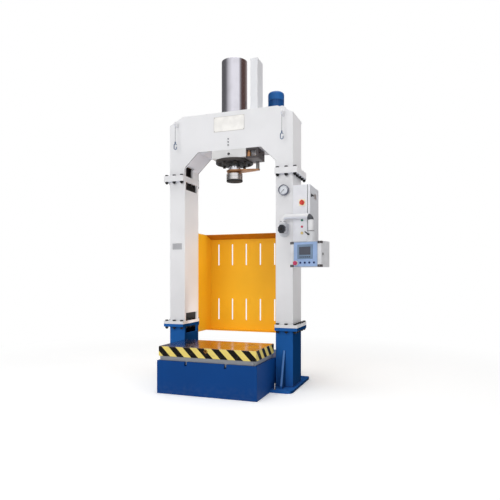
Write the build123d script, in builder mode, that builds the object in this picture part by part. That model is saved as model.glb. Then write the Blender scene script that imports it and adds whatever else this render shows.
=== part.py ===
from build123d import *
import os
from math import cos, radians, sin, sqrt

# Two-column hydraulic press with a sliding table, in millimetres.
# The origin is on the floor under the ram. X runs to the operator's right, Y away from them, Z up.

os.makedirs("parts", exist_ok=True)

# Frame
clear_width = 1000.0
column_width = 176.0
column_depth = 331.0
column_wall = 20.0
column_edge = 5.0
seam_gap = 0.1
pedestal_height = 601.0
column_height = 1535.0
leg_height = 109.0
knee_rise = 150.0
knee_run = 155.0
beam_height = 389.0
crosshead_wall = 25.0
shoulder_run = 156.0
shoulder_drop = 78.0

# Joint flanges, bolts and the pockets that give room for a wrench
flange_thickness = 30.0
flange_side = 51.0
flange_front = 39.0
flange_rear = 50.0
flange_corner = 40.0
bolt_diameter = 20.0
bolt_hole = 22.0
bolt_flats = 30.0
bolt_head = 12.5
nut_height = 16.0
bolt_end = 8.0
bolt_row_side = 25.0
bolt_row_front = 22.0
bolt_row_rear = 24.5
pocket_front_land = 29.5
pocket_rear_land = 40.5
pocket_height = 84.0
leg_pocket_length = 156.0
leg_pocket_height = 104.0
pedestal_pocket_height = 71.0

# Base, pedestals and table
base_height = 310.0
base_front = 733.0
base_back = 300.0
base_plate = 25.0
base_top_plate = 60.0
base_bottom_plate = 20.0
groove_spacing = 396.0
groove_width = 24.0
groove_depth = 38.0
foot_thickness = 25.0
foot_side = 36.0
foot_front = 190.0
foot_rear = 235.0
foot_front_corner = 60.0
foot_rear_corner = 30.0
table_width = 976.0
table_depth = 532.0
table_thickness = 92.0
table_loading_offset = 452.0
sled_thickness = 41.0
sled_inset = 10.0
slide_gap = 0.3

# Cylinder and ram
barrel_diameter = 270.0
barrel_bore = 220.0
barrel_rise = 566.0
barrel_end_wall = 40.0
mount_length = 374.0
mount_depth = 330.0
mount_height = 85.0
gland_diameter = 392.0
gland_thickness = 30.0
gland_spigot_length = 90.0
rod_diameter = 125.0
running_gap = 0.05
piston_length = 140.0
piston_top_gap = 20.0
nose_diameter = 170.0
nose_drop = 214.0
nose_length = 102.0
guide_rod_diameter = 35.0
guide_rod_offset = 258.0
guide_rod_top_gap = 50.0

# Small assemblies
moving_gap = 0.3
cabinet_drop = 696.0
cabinet_height = 550.0
arm_drop = 458.0
arm_reach = 278.0
arm_forward = 54.5
console_turn = 15.0
console_width = 330.0
console_depth = 168.0
console_height = 240.0
console_drop = 248.0

# Places that follow from the sizes above
inner_x = clear_width / 2
outer_x = inner_x + column_width
column_x = inner_x + column_width / 2
front_y = -column_depth / 2
back_y = column_depth / 2
lower_joint = pedestal_height
upper_joint = lower_joint + column_height
knee_height = upper_joint + leg_height
soffit_height = knee_height + knee_rise
soffit_length = clear_width - 2 * knee_run
crosshead_top = soffit_height + beam_height
barrel_top = crosshead_top + barrel_rise
mount_bottom = soffit_height - mount_height
nose_bottom = mount_bottom - nose_drop
cabinet_bottom = upper_joint - cabinet_drop
arm_height = upper_joint - arm_drop
console_bottom = arm_height - console_drop - console_height
barrel_radius = barrel_diameter / 2
rod_radius = rod_diameter / 2
nose_top = nose_bottom + nose_length


def block(x, y, z, mode=Mode.ADD):
    """A block between two values on each axis."""
    spans = (x, y, z)
    with Locations(tuple((low + high) / 2 for low, high in spans)):
        Box(*(abs(high - low) for low, high in spans), mode=mode)


def upright(radius, point, z_low, z_high, mode=Mode.ADD):
    """A vertical cylinder over a point, between two heights."""
    with Locations((point[0], point[1], (z_low + z_high) / 2)):
        Cylinder(radius, z_high - z_low, mode=mode)


def bolt_points(side):
    """The ring of bolts around one joint, on the left (-1) or the right (1)."""
    columns = (inner_x + bolt_row_side, (inner_x + outer_x) / 2 + bolt_row_side, outer_x + bolt_row_side)
    row_front = front_y - bolt_row_front
    row_rear = back_y + bolt_row_rear
    step = (row_rear - row_front) / 4
    ends = [(side * x, y) for x in columns for y in (row_front, row_rear)]
    between = [(side * x, row_front + step * k) for x in (columns[0], columns[2]) for k in (1, 2, 3)]
    return ends + between


def flange(side, z_low):
    """A joint flange with its bolt holes, flush with the column on the inner side."""
    outer = outer_x + flange_side
    low = front_y - flange_front
    high = back_y + flange_rear
    with BuildSketch(Plane.XY.offset(z_low)) as plate:
        with Locations((side * (inner_x + outer) / 2, (low + high) / 2)):
            Rectangle(outer - inner_x, high - low)
        fillet(plate.vertices().group_by(Axis.Y)[-1], flange_corner)
    extrude(plate.sketch, amount=flange_thickness)
    with BuildSketch(Plane.XY.offset(z_low)) as holes:
        with Locations(*bolt_points(side)):
            Circle(bolt_hole / 2)
    extrude(holes.sketch, amount=flange_thickness, mode=Mode.SUBTRACT)


def pocket(side, z_low, z_high, length=None):
    """Cuts a wrench pocket through the inner wall of a column, pedestal or leg."""
    low = front_y + pocket_front_land
    high = low + length if length else back_y - pocket_rear_land
    reach = max(column_wall, crosshead_wall) + 1
    knee_room = (z_high - knee_height) if z_high > knee_height else 1
    knee_room = max(knee_room * 1.5, 1)
    block((side * (inner_x - knee_room), side * (inner_x + reach)), (low, high), (z_low, z_high), Mode.SUBTRACT)


def box_section(side, z_low, z_high, wall):
    """A welded box section that stands where a column stands."""
    with BuildSketch(Plane.XY.offset(z_low)) as section:
        with Locations((side * column_x, 0)):
            RectangleRounded(column_width, column_depth, column_edge)
            Rectangle(column_width - 2 * wall, column_depth - 2 * wall, mode=Mode.SUBTRACT)
    extrude(section.sketch, amount=z_high - z_low)


def seam(side, x_low, z_low):
    """Parts a welded frame at a height: the lengths above and below are solids of their own."""
    across = (side * x_low, side * (outer_x + flange_side))
    block(across, (front_y - flange_front, back_y + flange_rear), (z_low, z_low + seam_gap), Mode.SUBTRACT)


# Base block: a welded box with a thick top plate and two grooves for the table's keys
base_length = base_front + base_back
base_middle = (base_back - base_front) / 2
cell_width = (clear_width - 3 * base_plate) / 2
cell_length = (base_length - 3 * base_plate) / 2
cell_height = base_height - base_top_plate - base_bottom_plate
core_hole = 80.0
base_edge = 3.0
groove_places = [(x * groove_spacing / 2, base_middle) for x in (-1, 1)]

with BuildPart() as base_block:
    with BuildSketch():
        with Locations((0, base_middle)):
            Rectangle(clear_width, base_length)
    extrude(amount=base_height)
    chamfer(base_block.faces().sort_by(Axis.Y)[0].edges(), base_edge)
    with Locations((0, base_middle, base_bottom_plate + cell_height / 2)):
        with GridLocations(cell_width + base_plate, cell_length + base_plate, 2, 2):
            Box(cell_width, cell_length, cell_height, mode=Mode.SUBTRACT)
    with Locations((0, base_middle, base_bottom_plate / 2)):
        with GridLocations(cell_width + base_plate, cell_length + base_plate, 2, 2):
            Cylinder(core_hole / 2, base_bottom_plate, mode=Mode.SUBTRACT)
    with BuildSketch(Plane.XY.offset(base_height)):
        with Locations(*groove_places):
            Rectangle(groove_width, base_length)
    extrude(amount=-groove_depth, mode=Mode.SUBTRACT)

base_block.part.label = "base_block"
export_step(base_block.part, "parts/base_block.step")

# Pedestals: box sections on foot plates, with gussets in front and behind
gusset_thickness = 20.0
gusset_height = 377.0
gusset_reach = 110.0
gusset_toe = 25.0
level_x = column_x - 48.0
level_front = foot_front - 25.0
level_rear = foot_rear - 50.0
level_diameter = 16.0
anchor_x = column_x + 72.0
anchor_front = foot_front - 55.0
anchor_rear = foot_rear - 55.0
anchor_hole = 22.0


def foot_point(x, ahead=None, behind=None):
    """A point on a foot plate, by its distance ahead of or behind the pedestal."""
    return (x, front_y - ahead) if ahead else (x, back_y + behind)


anchor_points = [foot_point(anchor_x, ahead=anchor_front), foot_point(anchor_x, behind=anchor_rear)]
level_points = [foot_point(level_x, ahead=level_front), foot_point(level_x, behind=level_rear)]

with BuildPart() as right_pedestal:
    with BuildSketch() as foot:
        with Locations(((inner_x + outer_x + foot_side) / 2, (foot_rear - foot_front) / 2)):
            Rectangle(column_width + foot_side, column_depth + foot_front + foot_rear)
        outer_corners = foot.vertices().group_by(Axis.X)[-1].sort_by(Axis.Y)
        fillet(outer_corners[0], foot_front_corner)
        outer_corners = foot.vertices().group_by(Axis.X)[-1].sort_by(Axis.Y)
        fillet(outer_corners[-1], foot_rear_corner)
        with Locations(*anchor_points):
            Circle(anchor_hole / 2, mode=Mode.SUBTRACT)
        with Locations(*level_points):
            Circle(level_diameter / 2, mode=Mode.SUBTRACT)
    extrude(amount=foot_thickness)
    box_section(1, foot_thickness, lower_joint - flange_thickness, column_wall)
    flange(1, lower_joint - flange_thickness)
    pocket_top = lower_joint - flange_thickness
    pocket(1, pocket_top - pedestal_pocket_height, pocket_top)
    with BuildSketch(Plane.YZ.offset(column_x)) as gussets:
        for face_y, way in ((front_y, -1), (back_y, 1)):
            toe_y = face_y + way * gusset_reach
            with BuildLine():
                Polyline((face_y, foot_thickness), (toe_y, foot_thickness), (toe_y, foot_thickness + gusset_toe),
                         (face_y, gusset_height), close=True)
            make_face()
    extrude(gussets.sketch, amount=gusset_thickness / 2, both=True)

right_pedestal.part.label = "right_pedestal"
export_step(right_pedestal.part, "parts/right_pedestal.step")

with BuildPart() as left_pedestal:
    mirror(right_pedestal.part, about=Plane.YZ)

left_pedestal.part.label = "left_pedestal"
export_step(left_pedestal.part, "parts/left_pedestal.step")

# Columns: a flange plate, a foot with a wrench pocket, a shaft, a head with a pocket and a flange plate
with BuildPart() as right_column:
    flange(1, lower_joint)
    flange(1, upper_joint - flange_thickness)
    box_section(1, lower_joint + flange_thickness, upper_joint - flange_thickness, column_wall)
    foot_of_column = lower_joint + flange_thickness
    head_of_column = upper_joint - flange_thickness
    pocket(1, foot_of_column, foot_of_column + pocket_height)
    pocket(1, head_of_column - pocket_height, head_of_column)
    seam(1, inner_x, foot_of_column)
    seam(1, inner_x, foot_of_column + pocket_height)
    seam(1, inner_x, head_of_column - pocket_height - seam_gap)
    seam(1, inner_x, head_of_column - seam_gap)

right_column.part.label = "right_column"
export_step(right_column.part, "parts/right_column.step")

with BuildPart() as left_column:
    mirror(right_column.part, about=Plane.YZ)

left_column.part.label = "left_column"
export_step(left_column.part, "parts/left_column.step")

# Crosshead: a hollow welded beam on two haunches and legs, with a bored tube for the cylinder
# and lifting lugs on top. The two small rope lugs are bolted to its front.
tube_wall = 25.0
bore_gap = 0.2
guide_hole = 50.0
lug_inset = 164.0
lug_back = 20.0
lug_radius = 45.0
lug_rise = 11.0
lug_sink = 24.0
lug_thickness = 25.0
lug_hole = 30.0
rope_inset = 96.0
rope_forward = 59.5
rope_lug_drop = 62.0
rope_lug_height = 50.0
rope_lug_thickness = 10.0
rope_lug_hole = 14.0
relief_gap = 2.0
shelf_left = 130.0
tank_length = 470.0
tank_width = 300.0
tank_gap = 5.0
tank_height = 302.0
shelf_rise = 75.0
shelf_plate = 10.0
shelf_drop = 74.0
head_radius = bolt_flats / sqrt(3)
leg_bottom = upper_joint + flange_thickness
lug_x = outer_x - lug_inset
rope_x = outer_x - rope_inset
rope_lug_high = crosshead_top - rope_lug_drop
rope_lug_low = rope_lug_high - rope_lug_height
shelf_height = soffit_height + shelf_rise


def crosshead_outline():
    """The outline of the crosshead seen from the front."""
    right_half = [
        (0, crosshead_top),
        (outer_x - shoulder_run, crosshead_top),
        (outer_x, crosshead_top - shoulder_drop),
        (outer_x, upper_joint),
        (inner_x, upper_joint),
        (inner_x, knee_height),
        (soffit_length / 2, soffit_height),
        (0, soffit_height),
    ]
    with BuildSketch(Plane.XZ) as outline:
        with BuildLine():
            Polyline(*right_half)
            mirror(about=Plane.YZ)
        make_face()
    return outline


with BuildPart() as crosshead:
    extrude(crosshead_outline().sketch, amount=column_depth / 2, both=True)
    with BuildSketch(Plane.XZ) as hollow:
        add(crosshead_outline().sketch_local)
        offset(amount=-crosshead_wall, kind=Kind.INTERSECTION, mode=Mode.REPLACE)
    extrude(hollow.sketch, amount=column_depth / 2 - crosshead_wall, both=True, mode=Mode.SUBTRACT)
    upright(barrel_radius + tube_wall, (0, 0), soffit_height, crosshead_top)
    upright(barrel_radius + bore_gap, (0, 0), soffit_height, crosshead_top, Mode.SUBTRACT)
    upright(guide_hole / 2, (guide_rod_offset, 0), soffit_height, crosshead_top, Mode.SUBTRACT)
    for side in (-1, 1):
        flange(side, upper_joint)
        pocket(side, leg_bottom, leg_bottom + leg_pocket_height, leg_pocket_length)
        for point in bolt_points(side):
            if abs(point[0]) < column_x and front_y < point[1] < back_y:
                relief_top = leg_bottom + bolt_head + 4 * relief_gap
                upright(head_radius + relief_gap, point, leg_bottom, relief_top, Mode.SUBTRACT)
        seam(side, inner_x, leg_bottom)
        seam(side, soffit_length / 2, leg_bottom + leg_pocket_height)
        seam(side, soffit_length / 2, soffit_height - seam_gap)
    with BuildSketch(Plane.XZ.offset(-lug_back)) as lugs:
        for side in (-1, 1):
            with Locations((side * lug_x, crosshead_top + lug_rise)):
                Circle(lug_radius)
            with Locations((side * lug_x, crosshead_top + (lug_rise - lug_sink) / 2)):
                Rectangle(2 * lug_radius, lug_rise + lug_sink)
        with Locations(*((side * lug_x, crosshead_top + 2 * lug_rise) for side in (-1, 1))):
            Circle(lug_hole / 2, mode=Mode.SUBTRACT)
    extrude(lugs.sketch, amount=lug_thickness / 2, both=True)

crosshead.part.label = "crosshead"
export_step(crosshead.part, "parts/crosshead.step")

rope_y = front_y - rope_forward
rope_lug_middle = (rope_lug_low + rope_lug_high) / 2
rope_lug_radius = rope_lug_height / 2

with BuildPart() as rope_lugs:
    with BuildSketch(Plane.YZ) as rope_lug:
        with Locations(((front_y + rope_y) / 2, rope_lug_middle)):
            Rectangle(rope_forward, 2 * rope_lug_radius)
        with Locations((rope_y, rope_lug_middle)):
            Circle(rope_lug_radius)
            Circle(rope_lug_hole / 2, mode=Mode.SUBTRACT)
    for side in (-1, 1):
        rope_lug_face = rope_lug.sketch.moved(Location((side * rope_x, 0, 0)))
        extrude(rope_lug_face, amount=rope_lug_thickness / 2, both=True)

rope_lugs.part.label = "rope_lugs"
export_step(rope_lugs.part, "parts/rope_lugs.step")

# Joint bolts: a hexagon bolt and its nut for every hole of the four joints
thread_gap = 0.1

with BuildPart() as joint_bolts:
    for joint in (lower_joint, upper_joint):
        face_above = joint + flange_thickness
        face_below = joint - flange_thickness
        for side in (-1, 1):
            with BuildSketch(Plane.XY.offset(face_above)) as heads:
                with Locations(*bolt_points(side)):
                    RegularPolygon(head_radius, 6, rotation=30)
            extrude(heads.sketch, amount=bolt_head)
            with BuildSketch(Plane.XY.offset(face_above)) as shanks:
                with Locations(*bolt_points(side)):
                    Circle(bolt_diameter / 2)
            shank_length = 2 * flange_thickness + nut_height + bolt_end
            extrude(shanks.sketch, amount=-shank_length)
            with BuildSketch(Plane.XY.offset(face_below)) as nuts:
                with Locations(*bolt_points(side)):
                    RegularPolygon(head_radius, 6, rotation=30)
                    Circle(bolt_diameter / 2 + thread_gap, mode=Mode.SUBTRACT)
            extrude(nuts.sketch, amount=-nut_height)

joint_bolts.part.label = "joint_bolts"
export_step(joint_bolts.part, "parts/joint_bolts.step")

# Levelling screws in the foot plates, each with a lock nut
level_height = 90.0
level_nut_flats = 24.0
level_nut_height = 13.0
level_places = [(side * x, y) for side in (-1, 1) for x, y in level_points]

with BuildPart() as levelling_screws:
    with BuildSketch() as screws:
        with Locations(*level_places):
            Circle(level_diameter / 2)
    extrude(amount=level_height)
    with BuildSketch(Plane.XY.offset(foot_thickness)) as level_nuts:
        with Locations(*level_places):
            RegularPolygon(level_nut_flats / sqrt(3), 6)
            Circle(level_diameter / 2 + thread_gap, mode=Mode.SUBTRACT)
    extrude(amount=level_nut_height)

levelling_screws.part.label = "levelling_screws"
export_step(levelling_screws.part, "parts/levelling_screws.step")

# Cylinder: mounting block, barrel, gland flange and its screws
gland_pitch_diameter = 304.0
gland_screws_count = 8
gland_screw_diameter = 20.0
gland_screw_head_diameter = 30.0
gland_head_height = 20.0
gland_screw_depth = 30.0
gland_screw_turn = 22.5
front_thread_diameter = 16.0
front_thread_depth = 24.0
port_drop = 65.0
port_radius = 22.0
port_reach = 24.0
port_bore = 14.0
block_edge = 2.0
gland_bottom = mount_bottom - gland_thickness
port_height = barrel_top - port_drop

with BuildPart() as mount_block:
    with BuildSketch(Plane.XY.offset(mount_bottom)):
        Rectangle(mount_length, mount_depth)
        Circle(barrel_radius + bore_gap, mode=Mode.SUBTRACT)
        with PolarLocations(gland_pitch_diameter / 2, gland_screws_count, start_angle=gland_screw_turn):
            Circle(gland_screw_diameter / 2, mode=Mode.SUBTRACT)
    extrude(amount=mount_height)
    chamfer(mount_block.faces().sort_by(Axis.Z)[0].outer_wire().edges(), block_edge)
    with Locations(Location((0, -mount_depth / 2, (mount_bottom + soffit_height) / 2), (90, 0, 0))):
        Cylinder(front_thread_diameter / 2, 2 * front_thread_depth, mode=Mode.SUBTRACT)

mount_block.part.label = "mount_block"
export_step(mount_block.part, "parts/mount_block.step")

with BuildPart() as cylinder_barrel:
    upright(barrel_radius, (0, 0), mount_bottom, barrel_top)
    chamfer(cylinder_barrel.faces().sort_by(Axis.Z)[-1].edges(), block_edge)
    with Locations(Location((0, (barrel_radius + port_reach) / 2, port_height), (90, 0, 0))):
        Cylinder(port_radius, barrel_radius + port_reach)
    upright(barrel_bore / 2, (0, 0), mount_bottom, barrel_top - barrel_end_wall, Mode.SUBTRACT)
    with Locations(Location((0, (barrel_radius + port_reach) / 2, port_height), (90, 0, 0))):
        Cylinder(port_bore / 2, barrel_radius + port_reach, mode=Mode.SUBTRACT)

cylinder_barrel.part.label = "cylinder_barrel"
export_step(cylinder_barrel.part, "parts/cylinder_barrel.step")

with BuildPart() as gland_flange:
    upright(gland_diameter / 2, (0, 0), gland_bottom, mount_bottom)
    chamfer(gland_flange.faces().sort_by(Axis.Z)[0].edges(), block_edge)
    upright(barrel_bore / 2, (0, 0), mount_bottom, mount_bottom + gland_spigot_length)
    upright(rod_radius + running_gap, (0, 0), gland_bottom, mount_bottom + gland_spigot_length, Mode.SUBTRACT)
    with Locations((0, 0, gland_bottom + gland_thickness / 2)):
        with PolarLocations(gland_pitch_diameter / 2, gland_screws_count, start_angle=gland_screw_turn):
            Cylinder(gland_screw_diameter / 2 + thread_gap, gland_thickness, mode=Mode.SUBTRACT)

gland_flange.part.label = "gland_flange"
export_step(gland_flange.part, "parts/gland_flange.step")

with BuildPart() as gland_screws:
    with BuildSketch(Plane.XY.offset(gland_bottom)):
        with PolarLocations(gland_pitch_diameter / 2, gland_screws_count, start_angle=gland_screw_turn):
            Circle(gland_screw_head_diameter / 2)
            RegularPolygon(gland_screw_head_diameter / 3.5, 6, mode=Mode.SUBTRACT)
    extrude(amount=-gland_head_height)
    with BuildSketch(Plane.XY.offset(gland_bottom - gland_head_height / 2)):
        with PolarLocations(gland_pitch_diameter / 2, gland_screws_count, start_angle=gland_screw_turn):
            Circle(gland_screw_diameter / 2)
    extrude(amount=gland_head_height / 2 + gland_thickness + gland_screw_depth)

gland_screws.part.label = "gland_screws"
export_step(gland_screws.part, "parts/gland_screws.step")

# Ram: rod with its piston, nose, and the arm that ties the guide rod to the ram
spigot_radius = 40.0
nose_spigot = 58.0
nose_chamfer_height = 22.0
nose_groove = 3.0
nose_groove_depth = 2.0
tool_thread_diameter = 24.0
tool_thread_depth = 30.0
piston_groove = 8.0
piston_groove_depth = 5.0
arm_thickness = 14.0
arm_collar_radius = 84.0
arm_end_radius = 22.0
piston_bottom = barrel_top - barrel_end_wall - piston_top_gap - piston_length

with BuildPart() as ram_rod:
    upright(rod_radius, (0, 0), nose_top, piston_bottom)
    upright(spigot_radius, (0, 0), nose_top - nose_spigot, nose_top)
    upright(barrel_bore / 2 - running_gap, (0, 0), piston_bottom, piston_bottom + piston_length)
    for share in (0.25, 0.5, 0.75):
        groove_z = piston_bottom + share * piston_length
        with BuildSketch(Plane.XY.offset(groove_z - piston_groove / 2)) as ring:
            Circle(barrel_bore / 2)
            Circle(barrel_bore / 2 - piston_groove_depth, mode=Mode.SUBTRACT)
        extrude(ring.sketch, amount=piston_groove, mode=Mode.SUBTRACT)

ram_rod.part.label = "ram_rod"
export_step(ram_rod.part, "parts/ram_rod.step")

with BuildPart() as ram_nose:
    with BuildSketch(Plane.XZ) as nose_profile:
        with BuildLine():
            Polyline((0, nose_bottom), (nose_diameter / 2 - block_edge, nose_bottom),
                     (nose_diameter / 2, nose_bottom + block_edge),
                     (nose_diameter / 2, nose_top - nose_chamfer_height), (rod_radius, nose_top),
                     (0, nose_top), close=True)
        make_face()
        for share in (0.22, 0.5):
            with Locations((nose_diameter / 2, nose_bottom + share * nose_length)):
                Rectangle(2 * nose_groove_depth, nose_groove, mode=Mode.SUBTRACT)
    revolve(axis=Axis.Z)
    upright(spigot_radius, (0, 0), nose_top - nose_spigot, nose_top, Mode.SUBTRACT)
    upright(tool_thread_diameter / 2, (0, 0), nose_bottom, nose_bottom + tool_thread_depth, Mode.SUBTRACT)

ram_nose.part.label = "ram_nose"
export_step(ram_nose.part, "parts/ram_nose.step")

with BuildPart() as guide_arm:
    with BuildSketch(Plane.XY.offset(nose_top)):
        Circle(arm_collar_radius)
        with Locations((guide_rod_offset, 0)):
            Circle(arm_end_radius)
        make_hull()
        Circle(rod_radius, mode=Mode.SUBTRACT)
        with Locations((guide_rod_offset, 0)):
            Circle(guide_rod_diameter / 2, mode=Mode.SUBTRACT)
    extrude(amount=arm_thickness)
    chamfer(guide_arm.faces().group_by(Axis.Z)[0].face().outer_wire().edges(), block_edge)

guide_arm.part.label = "guide_arm"
export_step(guide_arm.part, "parts/guide_arm.step")

# Guide rod housing on the crosshead, the bracket below it and its oiler
housing_left = guide_rod_offset - 47.0
housing_right = guide_rod_offset + 31.0
housing_front = 100.0
housing_back = 70.0
housing_top = barrel_top - 30.0
housing_wall = 3.0
housing_edge = 4.0
bracket_right = guide_rod_offset + 58.0
bracket_front = 165.0
bracket_back = 45.0
bracket_drop = 105.0
bracket_plate = 20.0
bracket_strip = 45.0
bush_radius = 30.0
bush_height = 25.0
oiler_radius = 24.0
oiler_height = 62.0
oiler_gap = 1.5
oiler_forward = 140.0
block_side = mount_length / 2
bracket_bottom = soffit_height - bracket_drop

with BuildPart() as guide_rod:
    upright(guide_rod_diameter / 2, (guide_rod_offset, 0), nose_top, housing_top - guide_rod_top_gap)
    chamfer(guide_rod.edges().filter_by(GeomType.CIRCLE), block_edge)

guide_rod.part.label = "guide_rod"
export_step(guide_rod.part, "parts/guide_rod.step")

with BuildPart() as guide_housing:
    block((housing_left, housing_right), (-housing_front, housing_back), (crosshead_top, housing_top))
    fillet(guide_housing.edges().filter_by(Axis.Z), housing_edge)
    block((housing_left + housing_wall, housing_right - housing_wall),
          (housing_wall - housing_front, housing_back - housing_wall),
          (crosshead_top, housing_top - housing_wall), Mode.SUBTRACT)

guide_housing.part.label = "guide_housing"
export_step(guide_housing.part, "parts/guide_housing.step")

with BuildPart() as guide_bracket:
    bracket_y = (-bracket_front, bracket_back)
    block((block_side, bracket_right), bracket_y, (bracket_bottom, bracket_bottom + bracket_plate))
    block((block_side, bracket_right), (-bracket_front, bracket_strip - bracket_front),
          (soffit_height - bracket_plate, soffit_height))
    block((bracket_right - bracket_plate, bracket_right), bracket_y, (bracket_bottom, soffit_height))
    bush_bottom = bracket_bottom + bracket_plate
    upright(bush_radius, (guide_rod_offset, 0), bush_bottom, bush_bottom + bush_height)
    upright(gland_diameter / 2 + moving_gap, (0, 0), bracket_bottom, mount_bottom, Mode.SUBTRACT)
    upright(guide_rod_diameter / 2 + running_gap, (guide_rod_offset, 0), bracket_bottom,
            bush_bottom + bush_height, Mode.SUBTRACT)

guide_bracket.part.label = "guide_bracket"
export_step(guide_bracket.part, "parts/guide_bracket.step")

oiler_x = block_side + oiler_gap + oiler_radius
oiler_bottom = bracket_bottom + bracket_plate

with BuildPart() as rod_oiler:
    with BuildSketch(Plane.XZ.offset(oiler_forward)):
        with BuildLine():
            Polyline((oiler_x, oiler_bottom + oiler_height), (oiler_x, oiler_bottom),
                     (oiler_x + oiler_radius, oiler_bottom),
                     (oiler_x + oiler_radius, oiler_bottom + oiler_height * 0.2),
                     (oiler_x + oiler_radius * 0.85, oiler_bottom + oiler_height * 0.26),
                     (oiler_x + oiler_radius * 0.85, oiler_bottom + oiler_height * 0.7),
                     (oiler_x + oiler_radius * 0.6, oiler_bottom + oiler_height * 0.82),
                     (oiler_x + oiler_radius * 0.6, oiler_bottom + oiler_height), close=True)
        make_face()
    revolve(axis=Axis((oiler_x, -oiler_forward, 0), (0, 0, 1)))

rod_oiler.part.label = "rod_oiler"
export_step(rod_oiler.part, "parts/rod_oiler.step")

# Sliding table: a thick plate on a sled whose two keys run in the base's grooves
key_gap = 0.2
key_depth = 30.0
table_edge = 3.0
pull_thread_diameter = 24.0
pull_depth = 40.0
pull_drop = 26.0
stop_pin_radius = 9.0
stop_pin_length = 18.0
stop_pin_inset = 18.0
sled_bottom = base_height + slide_gap
table_bottom = base_height + sled_thickness
table_top = table_bottom + table_thickness
table_y = -table_loading_offset

with BuildPart() as table_plate:
    with BuildSketch(Plane.XY.offset(table_bottom)):
        with Locations((0, table_y)):
            Rectangle(table_width, table_depth)
    extrude(amount=table_thickness)
    chamfer(table_plate.edges().group_by(Axis.Z)[-1], table_edge)
    with Locations(Location((0, table_y - table_depth / 2, table_top - pull_drop), (90, 0, 0))):
        Cylinder(pull_thread_diameter / 2, 2 * pull_depth, mode=Mode.SUBTRACT)

table_plate.part.label = "table_plate"
export_step(table_plate.part, "parts/table_plate.step")

with BuildPart() as table_sled:
    with BuildSketch(Plane.XY.offset(sled_bottom)):
        with Locations((0, table_y)):
            Rectangle(table_width - 2 * sled_inset, table_depth - 2 * sled_inset)
    extrude(amount=table_bottom - sled_bottom)
    with BuildSketch(Plane.XY.offset(sled_bottom)):
        with Locations(*((x, table_y) for x, _ in groove_places)):
            Rectangle(groove_width - 2 * key_gap, table_depth - 2 * sled_inset)
    extrude(amount=-key_depth)
    sled_front = table_y - table_depth / 2 + sled_inset
    pin_x = table_width / 2 - sled_inset - stop_pin_inset
    pin_z = (sled_bottom + table_bottom) / 2
    with Locations(Location((pin_x, sled_front - stop_pin_length / 2, pin_z), (90, 0, 0))):
        Cylinder(stop_pin_radius, stop_pin_length)

table_sled.part.label = "table_sled"
export_step(table_sled.part, "parts/table_sled.step")

# Rear guard: one folded sheet with ventilation slots, screwed to the backs of the columns
guard_height = 1067.0
guard_depth = 425.5
guard_drop = 126.0
guard_visor_rise = 48.0
guard_visor_reach = 142.0
guard_sheet = 3.0
guard_tab = 40.0
slot_width = 15.0
slot_height = 250.0
slot_spacing = 174.0
slot_count = 6
slot_row_rise = 242.5
slot_row_drop = 182.0
notch_room = 36.0
guard_half = inner_x + guard_tab
guard_back = back_y + guard_depth
guard_bottom = lower_joint - guard_drop
guard_fold = guard_bottom + guard_height
guard_top = guard_fold + guard_visor_rise
slot_rows = (guard_bottom + slot_row_rise, guard_fold - slot_row_drop)
guard_inner = guard_back - guard_sheet
visor_y = guard_back - guard_visor_reach
notch_low = lower_joint - flange_thickness - notch_room
notch_high = lower_joint + flange_thickness + notch_room
notch_back = back_y + flange_rear + bolt_end

with BuildPart() as rear_guard:
    block((-guard_half, guard_half), (guard_inner, guard_back), (guard_bottom, guard_fold))
    block((-guard_half, guard_half), (visor_y, guard_back), (guard_bottom, guard_bottom + guard_sheet))
    with BuildSketch(Plane.YZ) as visor:
        with BuildLine():
            Polyline((guard_back, guard_fold - guard_sheet), (guard_back, guard_fold), (visor_y, guard_top),
                     (visor_y, guard_top - guard_sheet), close=True)
        make_face()
    extrude(visor.sketch, amount=guard_half, both=True)
    with BuildSketch(Plane.YZ) as wing:
        with BuildLine():
            Polyline((back_y, guard_bottom), (guard_back, guard_bottom), (guard_back, guard_fold),
                     (visor_y, guard_top), (back_y, guard_top), close=True)
        make_face()
        with Locations(((back_y + notch_back) / 2, (notch_low + notch_high) / 2)):
            Rectangle(notch_back - back_y, notch_high - notch_low, mode=Mode.SUBTRACT)
    for side in (-1, 1):
        sheet = guard_sheet if side < 0 else -guard_sheet
        extrude(wing.sketch.moved(Location((side * guard_half, 0, 0))), amount=sheet)
        tab_x = (side * (guard_half - guard_sheet), side * (guard_half + guard_tab))
        tab_y = (back_y, back_y + guard_sheet)
        block(tab_x, tab_y, (guard_bottom, notch_low))
        block(tab_x, tab_y, (notch_high, guard_top))
    for row in slot_rows:
        with BuildSketch(Plane.XZ.offset(-guard_back)) as slots:
            with Locations((0, row)):
                with GridLocations(slot_spacing, 0, slot_count, 1):
                    SlotOverall(slot_height, slot_width, rotation=90)
        extrude(slots.sketch, amount=guard_sheet, mode=Mode.SUBTRACT)

rear_guard.part.label = "rear_guard"
export_step(rear_guard.part, "parts/rear_guard.step")

# Pressure gauge on the right column: case with its dial, needle and glass
gauge_rise = 266.0
gauge_radius = 50.0
gauge_depth = 40.0
gauge_rim = 5.0
gauge_recess = 12.0
gauge_glass_thickness = 2.5
needle_length = 36.0
needle_width = 4.0
needle_thickness = 1.2
needle_hub = 5.0
needle_lift = 2.0
gauge_height = arm_height + gauge_rise
gauge_plane = Plane(origin=(column_x, front_y, gauge_height), x_dir=(1, 0, 0), z_dir=(0, -1, 0))

with BuildPart(gauge_plane) as gauge_case:
    with Locations((0, 0, gauge_depth / 2)):
        Cylinder(gauge_radius, gauge_depth)
    chamfer(gauge_case.faces().sort_by(Axis.Y)[0].edges(), 2.0)
    with Locations((0, 0, gauge_depth - gauge_recess / 2)):
        Cylinder(gauge_radius - gauge_rim, gauge_recess, mode=Mode.SUBTRACT)

gauge_case.part.label = "gauge_case"
export_step(gauge_case.part, "parts/gauge_case.step")

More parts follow.
